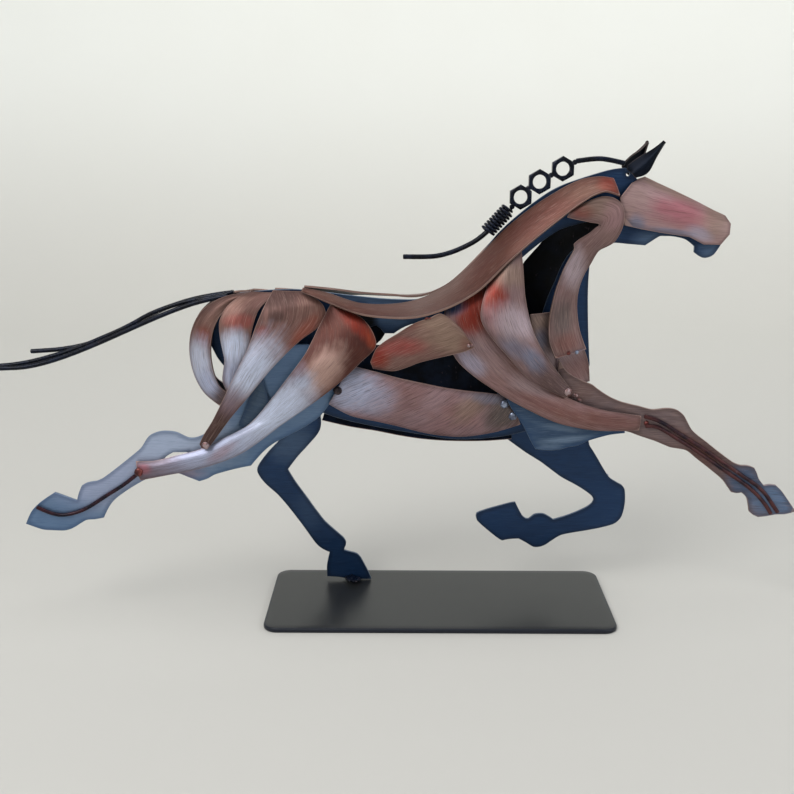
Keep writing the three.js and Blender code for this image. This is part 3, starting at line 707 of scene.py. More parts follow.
def lump_piece(name, drops, material, slot, *nodes):
    """Several drops of weld metal as one piece."""
    points, faces = [], []
    for drop in drops:
        more, rings = lump(**drop)
        faces += [tuple(len(points) + i for i in ring) for ring in rings]
        points += more
    uv = [(p.x, p.z) for p in points]
    piece = new_piece(name, points, faces, uv, [0.0] * len(points), smooth_angle=80)
    dress(piece, [material], slot, *nodes)


def surface_of(node):
    """A tree of the node's solid, for finding places on it."""
    solid = welded(node)
    tree = BVHTree.FromBMesh(solid)
    solid.free()
    return tree


FAR_SIDE = 0.2


def struck(node, across, up, side):
    """Where a line from one side of the horse first meets a node, and the surface's normal there."""
    tree = surface_of(node)
    inwards = Vector((0, -side, 0))
    spot = place_on(node, across, up)
    start = Vector((spot.x, side * FAR_SIDE, spot.z))
    point, normal = tree.ray_cast(start, inwards)[:2]
    if point is None:
        point, normal = tree.find_nearest(spot)[:2]
    return point, (normal if normal.dot(inwards) < 0 else -normal)


BEAD_SPACING, BEAD_HEIGHT = 1.5, 0.62
SMALLER = 0.2


def weld_beads(name, part, across, up, radius, material, count=1):
    """Drops of weld metal in a row on a part: on both twins of a pair, or on a lone part's own side."""
    for side, sign in (("right", RIGHT), ("left", LEFT)):
        node = part if part in SLOTS else f"{side}_{part}"
        if node == part and sign != (RIGHT if part == "body_plate" else side_of(part)):
            continue
        point, normal = struck(node, across, up, sign)
        drops = []
        for k in range(count):
            shift = Vector((BEAD_SPACING * radius * MM * (k - (count - 1) / 2), 0, 0))
            size = radius * MM * (1 - SMALLER * (k % 2))
            radii = (size, size, BEAD_HEIGHT * size)
            seed = len(name) + 2 * k + (sign == LEFT)
            drops.append(dict(centre=point + shift, normal=normal, radii=radii, seed=seed))
        lump_piece(f"{side}_{name}", drops, material, SLOTS[node])


SETTLING = 4
JOIN_RADIUS = 1.5 * MM
JOIN_SPREAD = 0.2 * JOIN_RADIUS


def weld_between(name, one, other, material):
    """A blob of weld metal where one node comes nearest to another."""
    first, second = surface_of(one), surface_of(other)
    here = first.find_nearest(middle_of(other))[0]
    for _ in range(SETTLING):
        there = second.find_nearest(here)[0]
        here = first.find_nearest(there)[0]
    point = (here + there) / 2
    drops = [
        dict(
            centre=point - Vector((0, way * JOIN_SPREAD, 0)),
            normal=(0, way, 0),
            radii=(JOIN_RADIUS,) * 3,
            seed=way + 3,
        )
        for way in (-1, 1)
    ]
    lump_piece(name, drops, material, SLOTS[one])


# ------------------------------------------------------------------ materials


class Graph:
    """A material's nodes. Each call adds a node and returns one of its outputs."""

    def __init__(self, name):
        self.material = bpy.data.materials.new(name)
        self.material.use_nodes = True
        self.tree = self.material.node_tree
        self.shader = self.tree.nodes["Principled BSDF"]

    def node(self, kind, inputs=None, output=0, **settings):
        made = self.tree.nodes.new("ShaderNode" + kind)
        for key, value in settings.items():
            setattr(made, key, value)
        for key, value in (inputs or {}).items():
            self.feed(made.inputs[key], value)
        return made.outputs[output]

    def feed(self, socket, value):
        if isinstance(value, bpy.types.NodeSocket):
            self.tree.links.new(value, socket)
        else:
            socket.default_value = value

    def math(self, operation, *values):
        return self.node("Math", dict(enumerate(values)), operation=operation)

    def times(self, one, two):
        return self.math("MULTIPLY", one, two)

    def plus(self, one, two):
        return self.math("ADD", one, two)

    def vector(self, operation, *values):
        output = "Value" if operation == "LENGTH" else 0
        return self.node("VectorMath", dict(enumerate(values)), output, operation=operation)

    def turned(self, place, degrees, axis):
        inputs = {"Vector": place, "Angle": math.radians(degrees)}
        return self.node("VectorRotate", inputs, rotation_type=axis + "_AXIS")

    def noise(self, place, scale, detail=2.0, roughness=0.55, seed=None):
        """Noise from 0 to 1, with scale features to the metre, all round or along each axis."""
        scale = scale if isinstance(scale, tuple) else (scale,) * 3
        if seed is not None:
            place = self.vector("MULTIPLY_ADD", place, scale, seed)
        else:
            place = self.vector("MULTIPLY", place, scale)
        inputs = {"Vector": place, "Scale": 1.0, "Detail": detail, "Roughness": roughness}
        return self.node("TexNoise", inputs, "Fac")

    def step(self, value, zero, one):
        """A soft step from 0 at one value to 1 at the other."""
        inputs = {"Value": value, "From Min": zero, "From Max": one}
        return self.node("MapRange", inputs, interpolation_type="SMOOTHSTEP")

    def mix(self, factor, one, two):
        made = self.tree.nodes.new("ShaderNodeMix")
        made.data_type = "RGBA"
        self.feed(made.inputs["Factor"], factor)
        for key, value in (("A", one), ("B", two)):
            socket = next(s for s in made.inputs if s.name == key and s.type == "RGBA")
            if not isinstance(value, bpy.types.NodeSocket):
                value = (*value, 1.0)
            self.feed(socket, value)
        return next(s for s in made.outputs if s.type == "RGBA")

    def place(self):
        return self.node("TexCoord", output="Object")

    def from_edge(self):
        """Distance from the nearest cut edge."""
        return self.node("Attribute", output="Fac", attribute_name="edge")

    def finish(self, colour, metallic, roughness, height, strength, depth):
        """Joins the colour, the gloss and a bump to the shader, and returns the material."""
        self.feed(self.shader.inputs["Base Color"], colour)
        self.shader.inputs["Metallic"].default_value = metallic
        self.feed(self.shader.inputs["Roughness"], roughness)
        bump = self.node("Bump", {"Strength": strength, "Distance": depth, "Height": height}, "Normal")
        self.feed(self.shader.inputs["Normal"], bump)
        return self.material


def rgb(red, green, blue):
    """A colour seen as 0 to 255, made linear."""
    out = []
    for channel in (red, green, blue):
        c = channel / 255
        out.append(c / 12.92 if c <= 0.04045 else ((c + 0.055) / 1.055) ** 2.4)
    return tuple(out)


BROWN = rgb(106, 74, 68)
TAN = rgb(122, 90, 80)
OLIVE_TAN = rgb(140, 118, 102)
PALE_TAN = rgb(172, 144, 134)
DARK_BROWN = rgb(66, 46, 43)
RED_BROWN = rgb(112, 66, 58)
GREY_BROWN = rgb(92, 80, 78)
OLIVE_GREY = rgb(82, 76, 74)
DARK_RED = rgb(76, 34, 28)
RUST = rgb(126, 34, 14)
ORANGE = rgb(146, 56, 26)
COPPER = rgb(176, 144, 134)
RED = rgb(150, 66, 62)
PINK = rgb(160, 88, 100)
PINK_BROWN = rgb(156, 120, 124)
MAUVE = rgb(112, 94, 104)
# Silver-pink, lavender and silver-blue are partly paint and partly painted highlight: the cool sheen
# where a curved sheet faces the light.
SILVER_PINK_PAINT_AND_SHEEN = rgb(176, 160, 168)
LAVENDER_PAINT_AND_SHEEN = rgb(172, 180, 208)
SILVER_BLUE_PAINT_AND_SHEEN = rgb(198, 208, 232)
GREY_BLUE = rgb(114, 122, 146)
PALE_BLUE = rgb(118, 138, 160)
STEEL_BLUE = rgb(96, 122, 156)
SLATE = rgb(72, 94, 124)
NAVY = rgb(24, 54, 92)
BLUE_BLACK = rgb(13, 18, 30)
BLACK = rgb(8, 9, 12)

# ------------------------------------------------------------------ colours on each sheet

# Patches on a node, of other paint and of painted highlight and shadow: place across and up its box
# in hundredths, half sizes in millimetres, turn in degrees, colour and strength.
SPOTS = {
    # The middle plate's two black patches are painted shadow beside the strips over it; the slate
    # patches are its paint.
    "body_plate": [
        (36, 47, 22, 8, 0, SLATE, 1), (33, 54, 26, 4, 0, SLATE, 1), (30, 48, 6, 6, 0, BLACK, 1),
        (31.8, 44.7, 5, 6, 0, BLACK, 1), (86, 75, 9, 5, 0, SLATE, 1), (98, 70, 8, 6, 0, SLATE, 1),
    ],
    "left_hind_leg": [
        (30, 60, 14, 14, 0, SLATE, 0.8), (45, 30, 9, 14, 0, SLATE, 0.3),
    ],
    "rump_strip_1": [
        (43, 89, 15, 6, 35, DARK_BROWN, 0.4), (25, 61, 5, 6, 0, RUST, 0.5),
        (17, 36, 9, 15, 0, SILVER_BLUE_PAINT_AND_SHEEN, 0.8), (34, 19, 10, 7, -50, LAVENDER_PAINT_AND_SHEEN, 0.95),
        (54, 8, 7, 6, -50, DARK_BROWN, 0.85),
    ],
    "rump_strip_2": [
        (31, 95, 15, 5, 20, TAN, 0.6), (43, 72, 11, 4, 0, RED, 0.55),
        (25, 45, 12, 10, 0, SILVER_BLUE_PAINT_AND_SHEEN, 0.95), (27, 19, 8, 10, 0, LAVENDER_PAINT_AND_SHEEN, 0.9),
    ],
    "rump_strip_3": [
        (64, 94, 10, 6, 0, DARK_BROWN, 0.6), (63, 85, 5, 3, 0, DARK_BROWN, 0.7),
        (83, 73, 14, 5, 52, ORANGE, 0.5), (51, 76, 4, 3, 0, RUST, 0.6),
        (43, 51, 22, 13, 50, SILVER_BLUE_PAINT_AND_SHEEN, 0.88), (26, 29, 11, 8, 60, MAUVE, 0.8),
        (12, 13, 14, 10, 60, DARK_BROWN, 0.95),
    ],
    "rump_strip_4": [
        (84, 99, 10, 7, 0, DARK_RED, 0.8), (93, 90, 15, 5, -42, RUST, 0.95),
        (99, 82, 4, 7, 20, ORANGE, 0.8), (78, 64, 17, 9, 50, COPPER, 0.95),
        (68, 66, 6, 6, 40, MAUVE, 0.8), (70, 58, 5, 4, 0, GREY_BLUE, 0.6),
        (63, 45, 20, 12, 45, SILVER_BLUE_PAINT_AND_SHEEN, 0.9), (48, 30, 27, 13, 32, SILVER_BLUE_PAINT_AND_SHEEN, 0.85),
        (25, 16, 37, 13, 15, LAVENDER_PAINT_AND_SHEEN, 0.85), (6, 9, 18, 10, 8, MAUVE, 0.6),
        (3, 7, 5, 3, 0, PINK, 0.7), (36, 17, 10, 3, 35, PINK_BROWN, 0.5),
    ],
    "rib_patch": [
        (6, 25, 8, 7, 0, RUST, 0.9), (29, 43, 14, 5, 5, RED, 0.75), (44, 90, 10, 4, 25, RUST, 0.5),
        (75, 61, 17, 9, -20, OLIVE_TAN, 0.7), (62, 88, 10, 5, 0, OLIVE_TAN, 0.6),
        (94, 50, 5, 5, 0, RED_BROWN, 0.5),
    ],
    "belly_strip": [
        (9, 70, 18, 16, 0, LAVENDER_PAINT_AND_SHEEN, 0.9), (24, 55, 14, 12, 50, LAVENDER_PAINT_AND_SHEEN, 0.5),
        (45, 64, 18, 6, 50, RED_BROWN, 0.35), (58, 18, 24, 5, 15, PINK_BROWN, 0.6),
        (73, 45, 13, 7, 50, OLIVE_TAN, 0.6), (90, 37, 12, 13, 0, OLIVE_GREY, 0.95),
        (82, 59, 13, 4, -10, GREY_BLUE, 0.6), (24, 21, 21, 4, -15, PINK_BROWN, 0.6),
    ],
    "rear_shoulder_strip": [
        (15, 89, 10, 15, 10, RUST, 1), (12, 77, 7, 7, 0, RUST, 0.9), (24, 91, 6, 8, 0, RUST, 0.9),
        (4, 87, 8, 5, 0, NAVY, 1), (21, 55, 17, 7, -40, SILVER_PINK_PAINT_AND_SHEEN, 0.25),
        (14, 50, 10, 5, -40, LAVENDER_PAINT_AND_SHEEN, 0.45), (42, 31, 16, 6, -35, SILVER_PINK_PAINT_AND_SHEEN, 0.4),
        (49, 21, 18, 4, -25, RED_BROWN, 0.7), (82, 8, 22, 5, -8, RED_BROWN, 0.6),
    ],
    "front_shoulder_strip": [
        (15, 68, 7, 15, 0, RUST, 0.95), (31, 84, 12, 7, 0, OLIVE_TAN, 0.6),
        (34, 54, 14, 9, -20, SILVER_PINK_PAINT_AND_SHEEN, 0.8), (37, 37, 10, 5, -30, GREY_BLUE, 0.5),
        (58, 28, 8, 5, -50, GREY_BLUE, 0.7), (77, 11, 14, 7, -50, DARK_BROWN, 0.6),
    ],
    "chest_panel": [
        (15, 90, 10, 6, 0, OLIVE_TAN, 0.6), (12, 55, 5, 10, -20, GREY_BLUE, 0.7),
        (82, 22, 12, 9, 0, RED_BROWN, 0.5),
    ],
    "throat_strip": [
        (43, 91, 7, 4, 0, RUST, 0.6), (66, 95, 12, 7, 0, OLIVE_TAN, 0.5),
        (86, 89, 7, 9, 0, PINK_BROWN, 0.6), (31, 58, 8, 14, 20, SILVER_PINK_PAINT_AND_SHEEN, 0.85),
        (19, 25, 7, 11, 0, GREY_BROWN, 0.9), (26, 9, 8, 6, 0, RED_BROWN, 0.6),
        (50, 2, 6, 2, 0, STEEL_BLUE, 0.8), (23, -1, 7, 2, 0, RED, 0.9),
    ],
    "neck_strip": [
        (75, 69, 26, 4, 33, RED_BROWN, 0.6), (97, 93, 7, 6, 0, RUST, 0.95),
        (56, 34, 13, 4, 45, RED_BROWN, 0.6), (91, 89, 15, 5, 8, OLIVE_TAN, 0.2),
        (10, 15, 14, 4, -15, OLIVE_TAN, 0.2),
    ],
    "head_cover": [
        (54, 49, 17, 8, -15, PINK, 0.75), (15, 28, 5, 6, 0, GREY_BLUE, 0.8),
        (46, 20, 14, 2, -8, GREY_BLUE, 0.7), (72, 16, 8, 4, -20, LAVENDER_PAINT_AND_SHEEN, 0.4),
        (87, 42, 7, 11, 0, OLIVE_TAN, 0.6), (37, 87, 24, 3, -25, OLIVE_TAN, 0.6),
    ],
    "right_foreleg": [
        (90, 15, 21, 16, -35, STEEL_BLUE, 1), (78, 24, 10, 11, 0, SLATE, 1),
        (59, 43, 18, 4, -40, RED_BROWN, 0.6),
    ],
    "elbow_plate": [
        (51, 19, 15, 2, 5, PALE_BLUE, 0.6), (37, 5, 9, 2, 5, PALE_BLUE, 0.5),
        (46, 40, 12, 2, -8, PALE_BLUE, 0.4),
    ],
    "right_hind_leg": [
        (46, 47, 40, 20, 10, SILVER_BLUE_PAINT_AND_SHEEN, 0.6), (25, 28, 31, 18, 20, LAVENDER_PAINT_AND_SHEEN, 0.7),
        (10, 10, 20, 11, 0, STEEL_BLUE, 0.7), (84, 85, 16, 16, 0, STEEL_BLUE, 0.8),
        (47, 32, 18, 5, 0, PINK_BROWN, 0.6),
    ],
}


def spots_on(node):
    """The patches of a node, which are the same on its right and left twins."""
    return SPOTS.get(node, SPOTS.get(node.partition("_")[2], ()))


random.seed(7)

# Features to the metre along and across the brush marks.
FINE_MARKS, MIDDLE_MARKS, BROAD_MARKS = (110, 2700, 0), (56, 1700, 0), (26, 300, 0)
CLOUDS, BLOTCHES, GRAIN = 38, 95, 2400
SWAY = (0.0, 3.0 * MM, 0.0)
# Brush marks: which noise, the values between which a mark fades in, its strength, and dark or light.
MARKS = [
    ("broad", 0.54, 0.34, 0.12, "dark"),
    ("middle", 0.5, 0.36, 0.24, "dark"),
    ("fine", 0.48, 0.34, 0.4, "dark"),
    ("fine", 0.54, 0.68, 0.28, "light"),
    ("middle", 0.56, 0.72, 0.1, "light"),
]
PATCH_FADE = (1.55, 0.35)
SHADED_BORDER = (3.0 * MM, 0.5 * MM)
PAINT_METALLIC, PAINT_ROUGHNESS = 0.55, 0.42


def patch_mask(g, box, place, ragged, across, up, wide, high, turn):
    """1 in a soft oval patch with a ragged border, on both sides of the horse."""
    low, size = box[0], box[1] - box[0]
    centre = (low.x + across / 100 * size.x, 0.0, low.z + up / 100 * size.z)
    away = g.vector("MULTIPLY", g.vector("SUBTRACT", place, centre), (1.0, 0.0, 1.0))
    shrink = (1 / (wide * MM), 0.0, 1 / (high * MM))
    away = g.vector("LENGTH", g.vector("MULTIPLY", g.turned(away, turn, "Y"), shrink))
    return g.step(g.plus(away, g.times(ragged, 0.8)), *PATCH_FADE)


def edge_shade_wear_and_sheen(g, colour, ragged, dark, wear, wear_width):
    """A painted shade along the border of a sheet, and a pale rim at its very edge that is partly worn
    paint and partly painted highlight.
    """
    rim = g.from_edge()
    painted_shade = g.step(g.plus(rim, g.times(ragged, 1.2 * MM)), *SHADED_BORDER)
    colour = g.mix(g.times(painted_shade, 0.4), colour, dark)
    rim_wear_and_sheen = g.plus(g.math("DIVIDE", rim, wear_width * MM), g.times(ragged, 1.2))
    return g.mix(g.times(g.step(rim_wear_and_sheen, 0.9, 0.2), 0.5), colour, wear)


def painted(
    node, ground, second, dark, light, wear, wear_width=0.5, lines=1.0, angle=0.0, contrast=1.0
):
    """Brushed and rubbed paint on steel: marks along the sheet, blotches, patches of paint and of
    painted highlight and shadow, a painted shade along the border, and worn edges with a painted
    highlight.
    """
    g = Graph(node + "_paint")
    seed = Vector([random.uniform(-40, 40) for _ in range(3)])
    place = g.place()
    along = g.node("UVMap", uv_map="along")
    if angle:
        along = g.turned(along, angle, "Z")
    cloud = g.noise(place, CLOUDS, 3.0, seed=seed)
    sway = g.vector("MULTIPLY", g.vector("SUBTRACT", cloud, (0.5, 0.5, 0.5)), SWAY)
    bent = g.vector("ADD", along, sway)
    marks = {
        "fine": g.noise(bent, FINE_MARKS, 2.0, seed=seed),
        "middle": g.noise(bent, MIDDLE_MARKS, 3.0, seed=seed),
        "broad": g.noise(bent, BROAD_MARKS, 2.0, seed=seed),
    }
    blotch = g.noise(place, BLOTCHES, 4.0, 0.6, seed=seed)
    grain = g.noise(place, GRAIN, 2.0, seed=seed)
    ragged = g.plus(g.times(marks["broad"], 0.7), g.times(blotch, 0.9))
    ragged = g.plus(g.plus(ragged, -0.8), g.times(g.plus(marks["middle"], -0.5), 0.5))

    colour = g.mix(g.times(g.step(cloud, 0.36, 0.68), 0.7 * contrast), ground, second)
    # Patches of other paint, of painted highlight and of painted shadow.
    for *patch, paint, strength in spots_on(node):
        mask = patch_mask(g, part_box(node), place, ragged, *patch)
        colour = g.mix(g.times(mask, strength), colour, paint)
    for name, none, full, strength, shade in MARKS:
        mask = g.times(g.step(marks[name], none, full), strength * lines)
        colour = g.mix(mask, colour, dark if shade == "dark" else light)
    # A painted shade along the border, and worn paint with a painted highlight at the very edge.
    colour = edge_shade_wear_and_sheen(g, colour, ragged, dark, wear, wear_width)

    gloss = g.plus(g.times(marks["middle"], 0.22), g.times(cloud, 0.2))
    gloss = g.plus(gloss, PAINT_ROUGHNESS - 0.21)
    height = g.plus(g.times(marks["fine"], 0.35), g.times(marks["middle"], 0.25))
    height = g.plus(g.plus(height, g.times(blotch, 1.2)), g.times(grain, 0.14))
    return g.finish(colour, PAINT_METALLIC, gloss, height, 0.5, 0.2 * MM)


def strip_paint(node, **changes):
    """Bronze-brown paint rubbed along a sheet."""
    # The pale tan rim at a sheet's very edge is worn paint and partly a painted highlight.
    recipe = dict(ground=BROWN, second=TAN, dark=DARK_BROWN, light=PALE_TAN, wear=PALE_TAN)
    return painted(node, **(recipe | changes))


def plate_paint(node, **changes):
    """Slate or navy paint on a flat plate, nearly even."""
    # The pale blue rim at a plate's very edge is a painted highlight.
    recipe = dict(ground=SLATE, second=STEEL_BLUE, dark=NAVY, light=PALE_BLUE, wear=PALE_BLUE)
    recipe |= dict(wear_width=0.35, lines=0.45, contrast=0.6)
    return painted(node, **(recipe | changes))


def navy_paint(node):
    """Dark navy paint, for the far legs and the middle plate."""
    return plate_paint(node, ground=NAVY, second=rgb(28, 50, 80), dark=BLUE_BLACK, light=SLATE)


def base_paint():
    """Satin black powder coat with a faint orange peel and dust."""
    g = Graph("base_powder_coat")
    g.shader.inputs["Specular IOR Level"].default_value = 0.4
    place = g.place()
    peel = g.noise(place, 1500, 2.0)
    smear = g.noise(place, (22, 60, 60), 4.0)
    dust = g.step(g.noise(place, 900, 4.0, 0.7), 0.66, 0.8)
    colour = g.mix(smear, rgb(33, 35, 37), rgb(45, 46, 47))
    colour = g.mix(g.times(dust, 0.25), colour, rgb(120, 120, 118))
    # The sides and eased rim of the base get a painted shade, darker and bluer than the top.
    colour = g.mix(g.step(g.from_edge(), 0.9 * MM, 0.2 * MM), colour, rgb(22, 27, 38))
    return g.finish(colour, 0.2, g.plus(g.times(smear, 0.1), 0.3), peel, 0.12, 0.05 * MM)


def gloss_paint(name, ground, second, roughness):
    """Enamel over rod, wire, nuts and the backs of sheets, with drips and thin spots."""
    g = Graph(name)
    g.shader.inputs["Specular IOR Level"].default_value = 0.25
    place = g.place()
    drip = g.noise(place, (420, 420, 240), 3.0)
    blotch = g.noise(place, 110, 3.0)
    grain = g.noise(place, 2600, 2.0)
    colour = g.mix(g.step(blotch, 0.35, 0.7), ground, second)
    colour = g.mix(g.times(g.step(drip, 0.64, 0.8), 0.5), colour, MAUVE)
    gloss = g.plus(g.times(drip, 0.2), roughness - 0.08)
    height = g.plus(drip, g.times(grain, 0.12))
    return g.finish(colour, 0.35, gloss, height, 0.5, 0.25 * MM)


def bead_paint(name, ground, second):
    """A weld bead rubbed down to bright metal with bronze left in its hollows."""
    g = Graph(name)
    place = g.place()
    cloud = g.noise(place, 320, 3.0)
    grain = g.noise(place, 1500, 3.0)
    colour = g.mix(g.step(cloud, 0.38, 0.62), ground, second)
    gloss = g.plus(g.times(cloud, 0.25), 0.22)
    return g.finish(colour, 0.8, gloss, grain, 0.5, 0.15 * MM)


# ------------------------------------------------------------------ the horse

STRIPS = ["neck_strip", "throat_strip", "front_shoulder_strip", "rear_shoulder_strip"]
STRIPS += ["chest_panel", "rib_patch", "belly_strip"] + [f"rump_strip_{k}" for k in (1, 2, 3, 4)]

# What differs from the usual bronze paint, part by part.
BRUSHED = {
    "belly_strip": dict(angle=-50, ground=rgb(152, 124, 130), second=rgb(140, 100, 98), lines=1.3),
    "throat_strip": dict(ground=rgb(118, 92, 92), second=rgb(128, 102, 98)),
    "neck_strip": dict(ground=rgb(106, 66, 56), second=rgb(106, 68, 58)),
    "rump_strip_3": dict(ground=rgb(112, 80, 74)),
    "rump_strip_4": dict(ground=rgb(68, 26, 18), second=rgb(92, 48, 38), light=TAN),
    "rear_shoulder_strip": dict(ground=rgb(134, 104, 104), second=rgb(118, 84, 78)),
    "front_shoulder_strip": dict(ground=rgb(116, 94, 96), second=rgb(124, 98, 98)),
    "chest_panel": dict(ground=rgb(132, 114, 118), second=rgb(128, 106, 102)),
    "rib_patch": dict(ground=rgb(118, 86, 80), second=rgb(124, 92, 84)),
    "head_cover": dict(ground=rgb(166, 134, 136), second=rgb(160, 134, 130), angle=80, lines=0.6),
    "right_foreleg": dict(ground=rgb(116, 100, 102), second=rgb(118, 90, 84)),
}
EAR_BLACK = dict(ground=rgb(6, 12, 24), second=rgb(14, 24, 40), dark=BLACK, light=rgb(40, 56, 78))
ELBOW_BLUE = dict(ground=rgb(48, 68, 94), second=rgb(62, 84, 112), contrast=1.0, lines=0.8)
SLAT_BLUE = dict(ground=rgb(58, 76, 98), second=rgb(70, 84, 100))

# Hammer marks on the planted leg: places across and up its box, radius and depth in millimetres.
PLANTED_LEG_DENTS = [
    (0.17, 0.50, 3.2, 0.5),
    (0.24, 0.53, 2.6, 0.4),
    (0.37, 0.33, 3, 0.35),
    (0.65, 0.19, 3.4, 0.5),
]
TORN_HOLE = 0.6 * MM


def ear_piece(node):
    # The grey-brown rim at an ear's very edge is a painted highlight.
    paint = plate_paint(node, wear=GREY_BROWN, **EAR_BLACK)
    paint.node_tree.nodes["Principled BSDF"].inputs["Specular IOR Level"].default_value = 0.2
    strip_piece(node, paint, paint)


def make_sheets():
    """The bent sheets: bronze outside, and black or navy inside."""
    black = gloss_paint("inside_paint", BLACK, BLUE_BLACK, 0.5)
    navy = gloss_paint("navy_lining", BLUE_BLACK, rgb(24, 36, 58), 0.4)
    for side in ("right", "left"):
        for part in STRIPS:
            paint = strip_paint(f"{side}_{part}", **BRUSHED.get(part, {}))
            strip_piece(f"{side}_{part}", paint, navy if part == "belly_strip" else black)
        ear_piece(side + "_ear")
        elbow = side + "_elbow_plate"
        plate_piece(elbow, plate_paint(elbow, **ELBOW_BLUE), SHEET)
    head_paint = strip_paint("head_cover", **BRUSHED["head_cover"])
    strip_piece("head_cover", head_paint, black, rounded=False)
    slat_paint = plate_paint("right_haunch_slat", **SLAT_BLUE)
    strip_piece("right_haunch_slat", slat_paint, slat_paint, rounded=False)


def make_plates():
    """The flat middle plate and the four legs."""
    plate_piece("body_plate", navy_paint("body_plate"), LEG_PLATE)
    steel = plate_paint("right_hind_leg", ground=STEEL_BLUE, second=PALE_BLUE)
    plate_piece("right_hind_leg", steel, LEG_PLATE, hole_inset=TORN_HOLE)
    plate_piece("left_hind_leg", navy_paint("left_hind_leg"), LEG_PLATE, PLANTED_LEG_DENTS)
    bronze = strip_paint("right_foreleg", **BRUSHED["right_foreleg"])
    plate_piece("right_foreleg", bronze, LEG_PLATE)
    plate_piece("left_foreleg", navy_paint("left_foreleg"), LEG_PLATE)


def make_rods(enamel):
    """Tail rods, mane wires, spring and nuts, and the tendon rods on two legs."""
    for k in (1, 2, 3):
        rod_piece(f"tail_rod_{k}", enamel)
    for name in ("mane_front_wire", "mane_rear_wire", "mane_spring"):
        rod_piece(name, enamel)
    for name in ("mane_nut_1", "mane_nut_2", "mane_nut_3"):
        nut_piece(name, enamel)
    # The foreleg rods' red-brown is partly enamel and partly a painted reddish reflection along them.
    foreleg_enamel_and_sheen = gloss_paint("foreleg_tendon_enamel_and_sheen", rgb(80, 46, 46), rgb(30, 22, 32), 0.2)
    hind_enamel = gloss_paint("hind_tendon_enamel", rgb(14, 17, 30), rgb(60, 30, 38), 0.2)
    rod_piece("right_foreleg_upper_rod", foreleg_enamel_and_sheen)
    rod_piece("right_foreleg_lower_rod", foreleg_enamel_and_sheen)
    rod_piece("right_hind_leg_rod", hind_enamel)


# Drops of the hoof's weld: place along it, size, seed and roughness.
HOOF_DROPS = [(0.0, 1.0, 1, 0.5), (-0.5, 0.8, 5, 0.16), (0.6, 0.7, 9, 0.16)]


def hoof_weld_piece(node, material):
    """The puddle of weld metal that holds the planted hoof."""
    half = (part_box(node)[1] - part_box(node)[0]) / 2
    drops = []
    for along, size, seed, rough in HOOF_DROPS:
        centre = middle_of(node) + Vector((along * half.x, 0, 0))
        drops.append(dict(centre=centre, normal=(0, 0, 1), radii=size * half, seed=seed, rough=rough))
    lump_piece("hoof_weld_puddle", drops, material, SLOTS[node], node)


def make_beads():
    """Small welds: each has a part, a place across and up its box, a radius in mm and a metal."""
    silver = bead_paint("silver_weld", rgb(150, 160, 182), rgb(92, 98, 116))
    pink = bead_paint("pink_silver_weld", rgb(176, 156, 158), rgb(112, 80, 78))
    red = bead_paint("red_weld", rgb(128, 70, 66), rgb(74, 44, 44))
    dark = bead_paint("dark_weld", rgb(84, 70, 72), rgb(42, 36, 40))
    navy = bead_paint("navy_weld", rgb(44, 58, 84), rgb(22, 30, 46))
    for bead in (
        ("hip_weld", "belly_strip", 0.05, 0.66, 2.7, dark),
        ("thigh_weld", "rump_strip_3", 0.05, 0.025, 2.3, pink),
        ("hock_weld", "rump_strip_4", 0.012, 0.055, 2.7, red),
        ("shoulder_upper_weld", "belly_strip", 0.91, 0.48, 2.6, silver),
        ("shoulder_lower_weld", "belly_strip", 0.955, 0.31, 2.6, silver),
        ("chest_weld", "front_shoulder_strip", 0.96, 0.05, 2.6, pink),
        ("breast_weld", "right_foreleg", 0.075, 0.76, 2.2, pink),
        ("breast_drop", "right_foreleg", 0.09, 0.735, 1.6, pink),
        ("rib_top_weld", "rib_patch", 0.55, 0.95, 1.3, red, 2),
        ("rib_tip_weld", "rib_patch", 0.96, 0.48, 1.2, pink, 2),
        ("throat_weld", "throat_strip", 0.30, 0.03, 1.3, red),
        ("throat_drop", "throat_strip", 0.42, 0.03, 1.2, silver),
        ("croup_weld", "body_plate", 0.19, 0.56, 2.0, navy),
        ("knee_drop", "left_foreleg", 0.87, 0.51, 1.1, silver),
        ("forearm_weld", "right_foreleg", 0.37, 0.60, 1.6, red),
    ):
        weld_beads(*bead)


make_sheets()
make_plates()
black_enamel = gloss_paint("black_enamel", rgb(8, 11, 20), rgb(16, 24, 42), 0.26)
make_rods(black_enamel)
base_piece("base_plate", base_paint())
hoof_weld_piece("hoof_weld", black_enamel)
make_beads()
weld_between("nut_weld_1", "mane_nut_1", "mane_nut_2", black_enamel)
weld_between("nut_weld_2", "mane_nut_2", "mane_nut_3", black_enamel)
weld_between("spring_weld", "mane_spring", "mane_nut_3", black_enamel)
weld_between("front_wire_weld", "mane_nut_1", "mane_front_wire", black_enamel)

# ------------------------------------------------------------------ camera, light and stage


CAMERA_PLACE = (-0.021, -0.636, 0.3005)
CAMERA_DOWN, CAMERA_TURN = 14.25, 0.55
FOCAL_LENGTH, SENSOR = 47.6, 36


def make_camera():
    lens = bpy.data.cameras.new("camera")
    lens.lens = FOCAL_LENGTH
    lens.sensor_width = SENSOR
    camera = bpy.data.objects.new("camera", lens)
    camera.location = CAMERA_PLACE
    camera.rotation_euler = (math.radians(90 - CAMERA_DOWN), 0, math.radians(CAMERA_TURN))
    bpy.context.scene.collection.objects.link(camera)
    bpy.context.scene.camera = camera


STUDIO_CENTRE_Y = -0.45
FLOOR_RADIUS = 1.5
COVE = 0.5
WALL_TOP = 1.1
STUDIO_SIDES = 96


def studio_paint():
    """Pale and dull, and paler up the wall."""
    g = Graph("studio_wall")
    place = g.place()
    wall = g.mix(g.noise(place, 3), rgb(238, 240, 237), rgb(234, 235, 230))
    height = g.node("SeparateXYZ", {"Vector": place}, "Z")
    colour = g.mix(g.step(height, 0.0, COVE), rgb(206, 205, 200), wall)
    g.feed(g.shader.inputs["Base Color"], colour)
    g.shader.inputs["Roughness"].default_value = 0.9
    return g.material


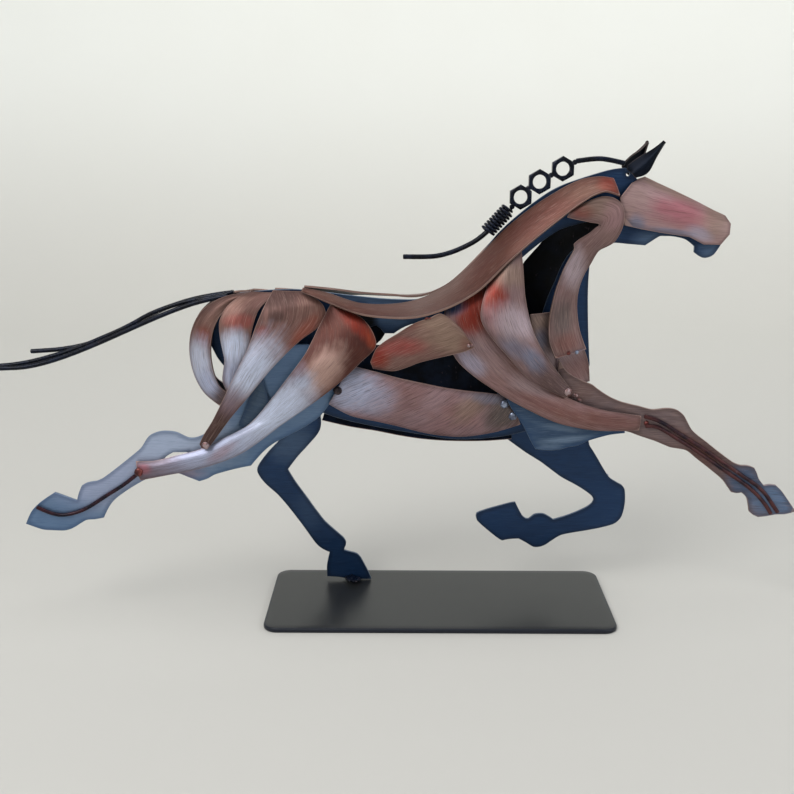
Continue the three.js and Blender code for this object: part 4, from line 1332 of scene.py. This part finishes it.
def make_stage():
    """A round pale floor that curves up into a pale wall on every side."""
    profile = [(0.01, 0.0), (0.5 * FLOOR_RADIUS, 0.0), (FLOOR_RADIUS, 0.0)]
    for degrees in range(10, 91, 10):
        angle = math.radians(degrees)
        profile.append((FLOOR_RADIUS + COVE * math.sin(angle), COVE - COVE * math.cos(angle)))
    profile.append((FLOOR_RADIUS + COVE, WALL_TOP))
    points = []
    for radius, z in profile:
        for k in range(STUDIO_SIDES):
            angle = 2 * math.pi * k / STUDIO_SIDES
            points.append((radius * math.cos(angle), STUDIO_CENTRE_Y + radius * math.sin(angle), z))
    faces = bands(range(0, len(points), STUDIO_SIDES), STUDIO_SIDES)
    mesh = bpy.data.meshes.new("studio")
    mesh.from_pydata(points, [], [tuple(range(STUDIO_SIDES))] + [face[::-1] for face in faces])
    mesh.shade_smooth()
    mesh.materials.append(studio_paint())
    studio = bpy.data.objects.new("studio", mesh)
    bpy.context.scene.collection.objects.link(studio)


SKY_STRENGTH = 0.36
# Lamps: name, place, what they point at, width and height, power, colour.
LAMPS = [
    ("key", (-1.0, -1.2, 1.5), (0, 0, 0.12), (1.0, 1.0), 20, (1.0, 0.985, 0.96)),
    ("fill", (1.3, -0.9, 0.8), (0, 0, 0.15), (1.0, 1.0), 5.5, (0.92, 0.95, 1.0)),
    ("backdrop", (0.45, 0.95, 1.15), (0.45, 1.55, 0.45), (2.4, 0.4), 5.5, (1.0, 1.0, 0.97)),
    ("top", (0.1, -0.2, 1.6), (0, 0, 0.1), (1.4, 0.9), 7.5, (1.0, 0.99, 0.97)),
]


def make_light():
    world = bpy.data.worlds.new("studio")
    world.use_nodes = True
    sky = world.node_tree.nodes["Background"]
    sky.inputs["Color"].default_value = (0.93, 0.95, 1.0, 1.0)
    sky.inputs["Strength"].default_value = SKY_STRENGTH
    bpy.context.scene.world = world
    for name, place, target, size, power, colour in LAMPS:
        light = bpy.data.lights.new(name, "AREA")
        light.shape = "RECTANGLE"
        light.size, light.size_y = size
        light.energy = power
        light.color = colour
        lamp = bpy.data.objects.new(name, light)
        lamp.location = place
        lamp.rotation_euler = (Vector(target) - Vector(place)).to_track_quat("-Z", "Y").to_euler()
        bpy.context.scene.collection.objects.link(lamp)


make_camera()
make_stage()
make_light()
bpy.context.scene.view_settings.view_transform = "Standard"
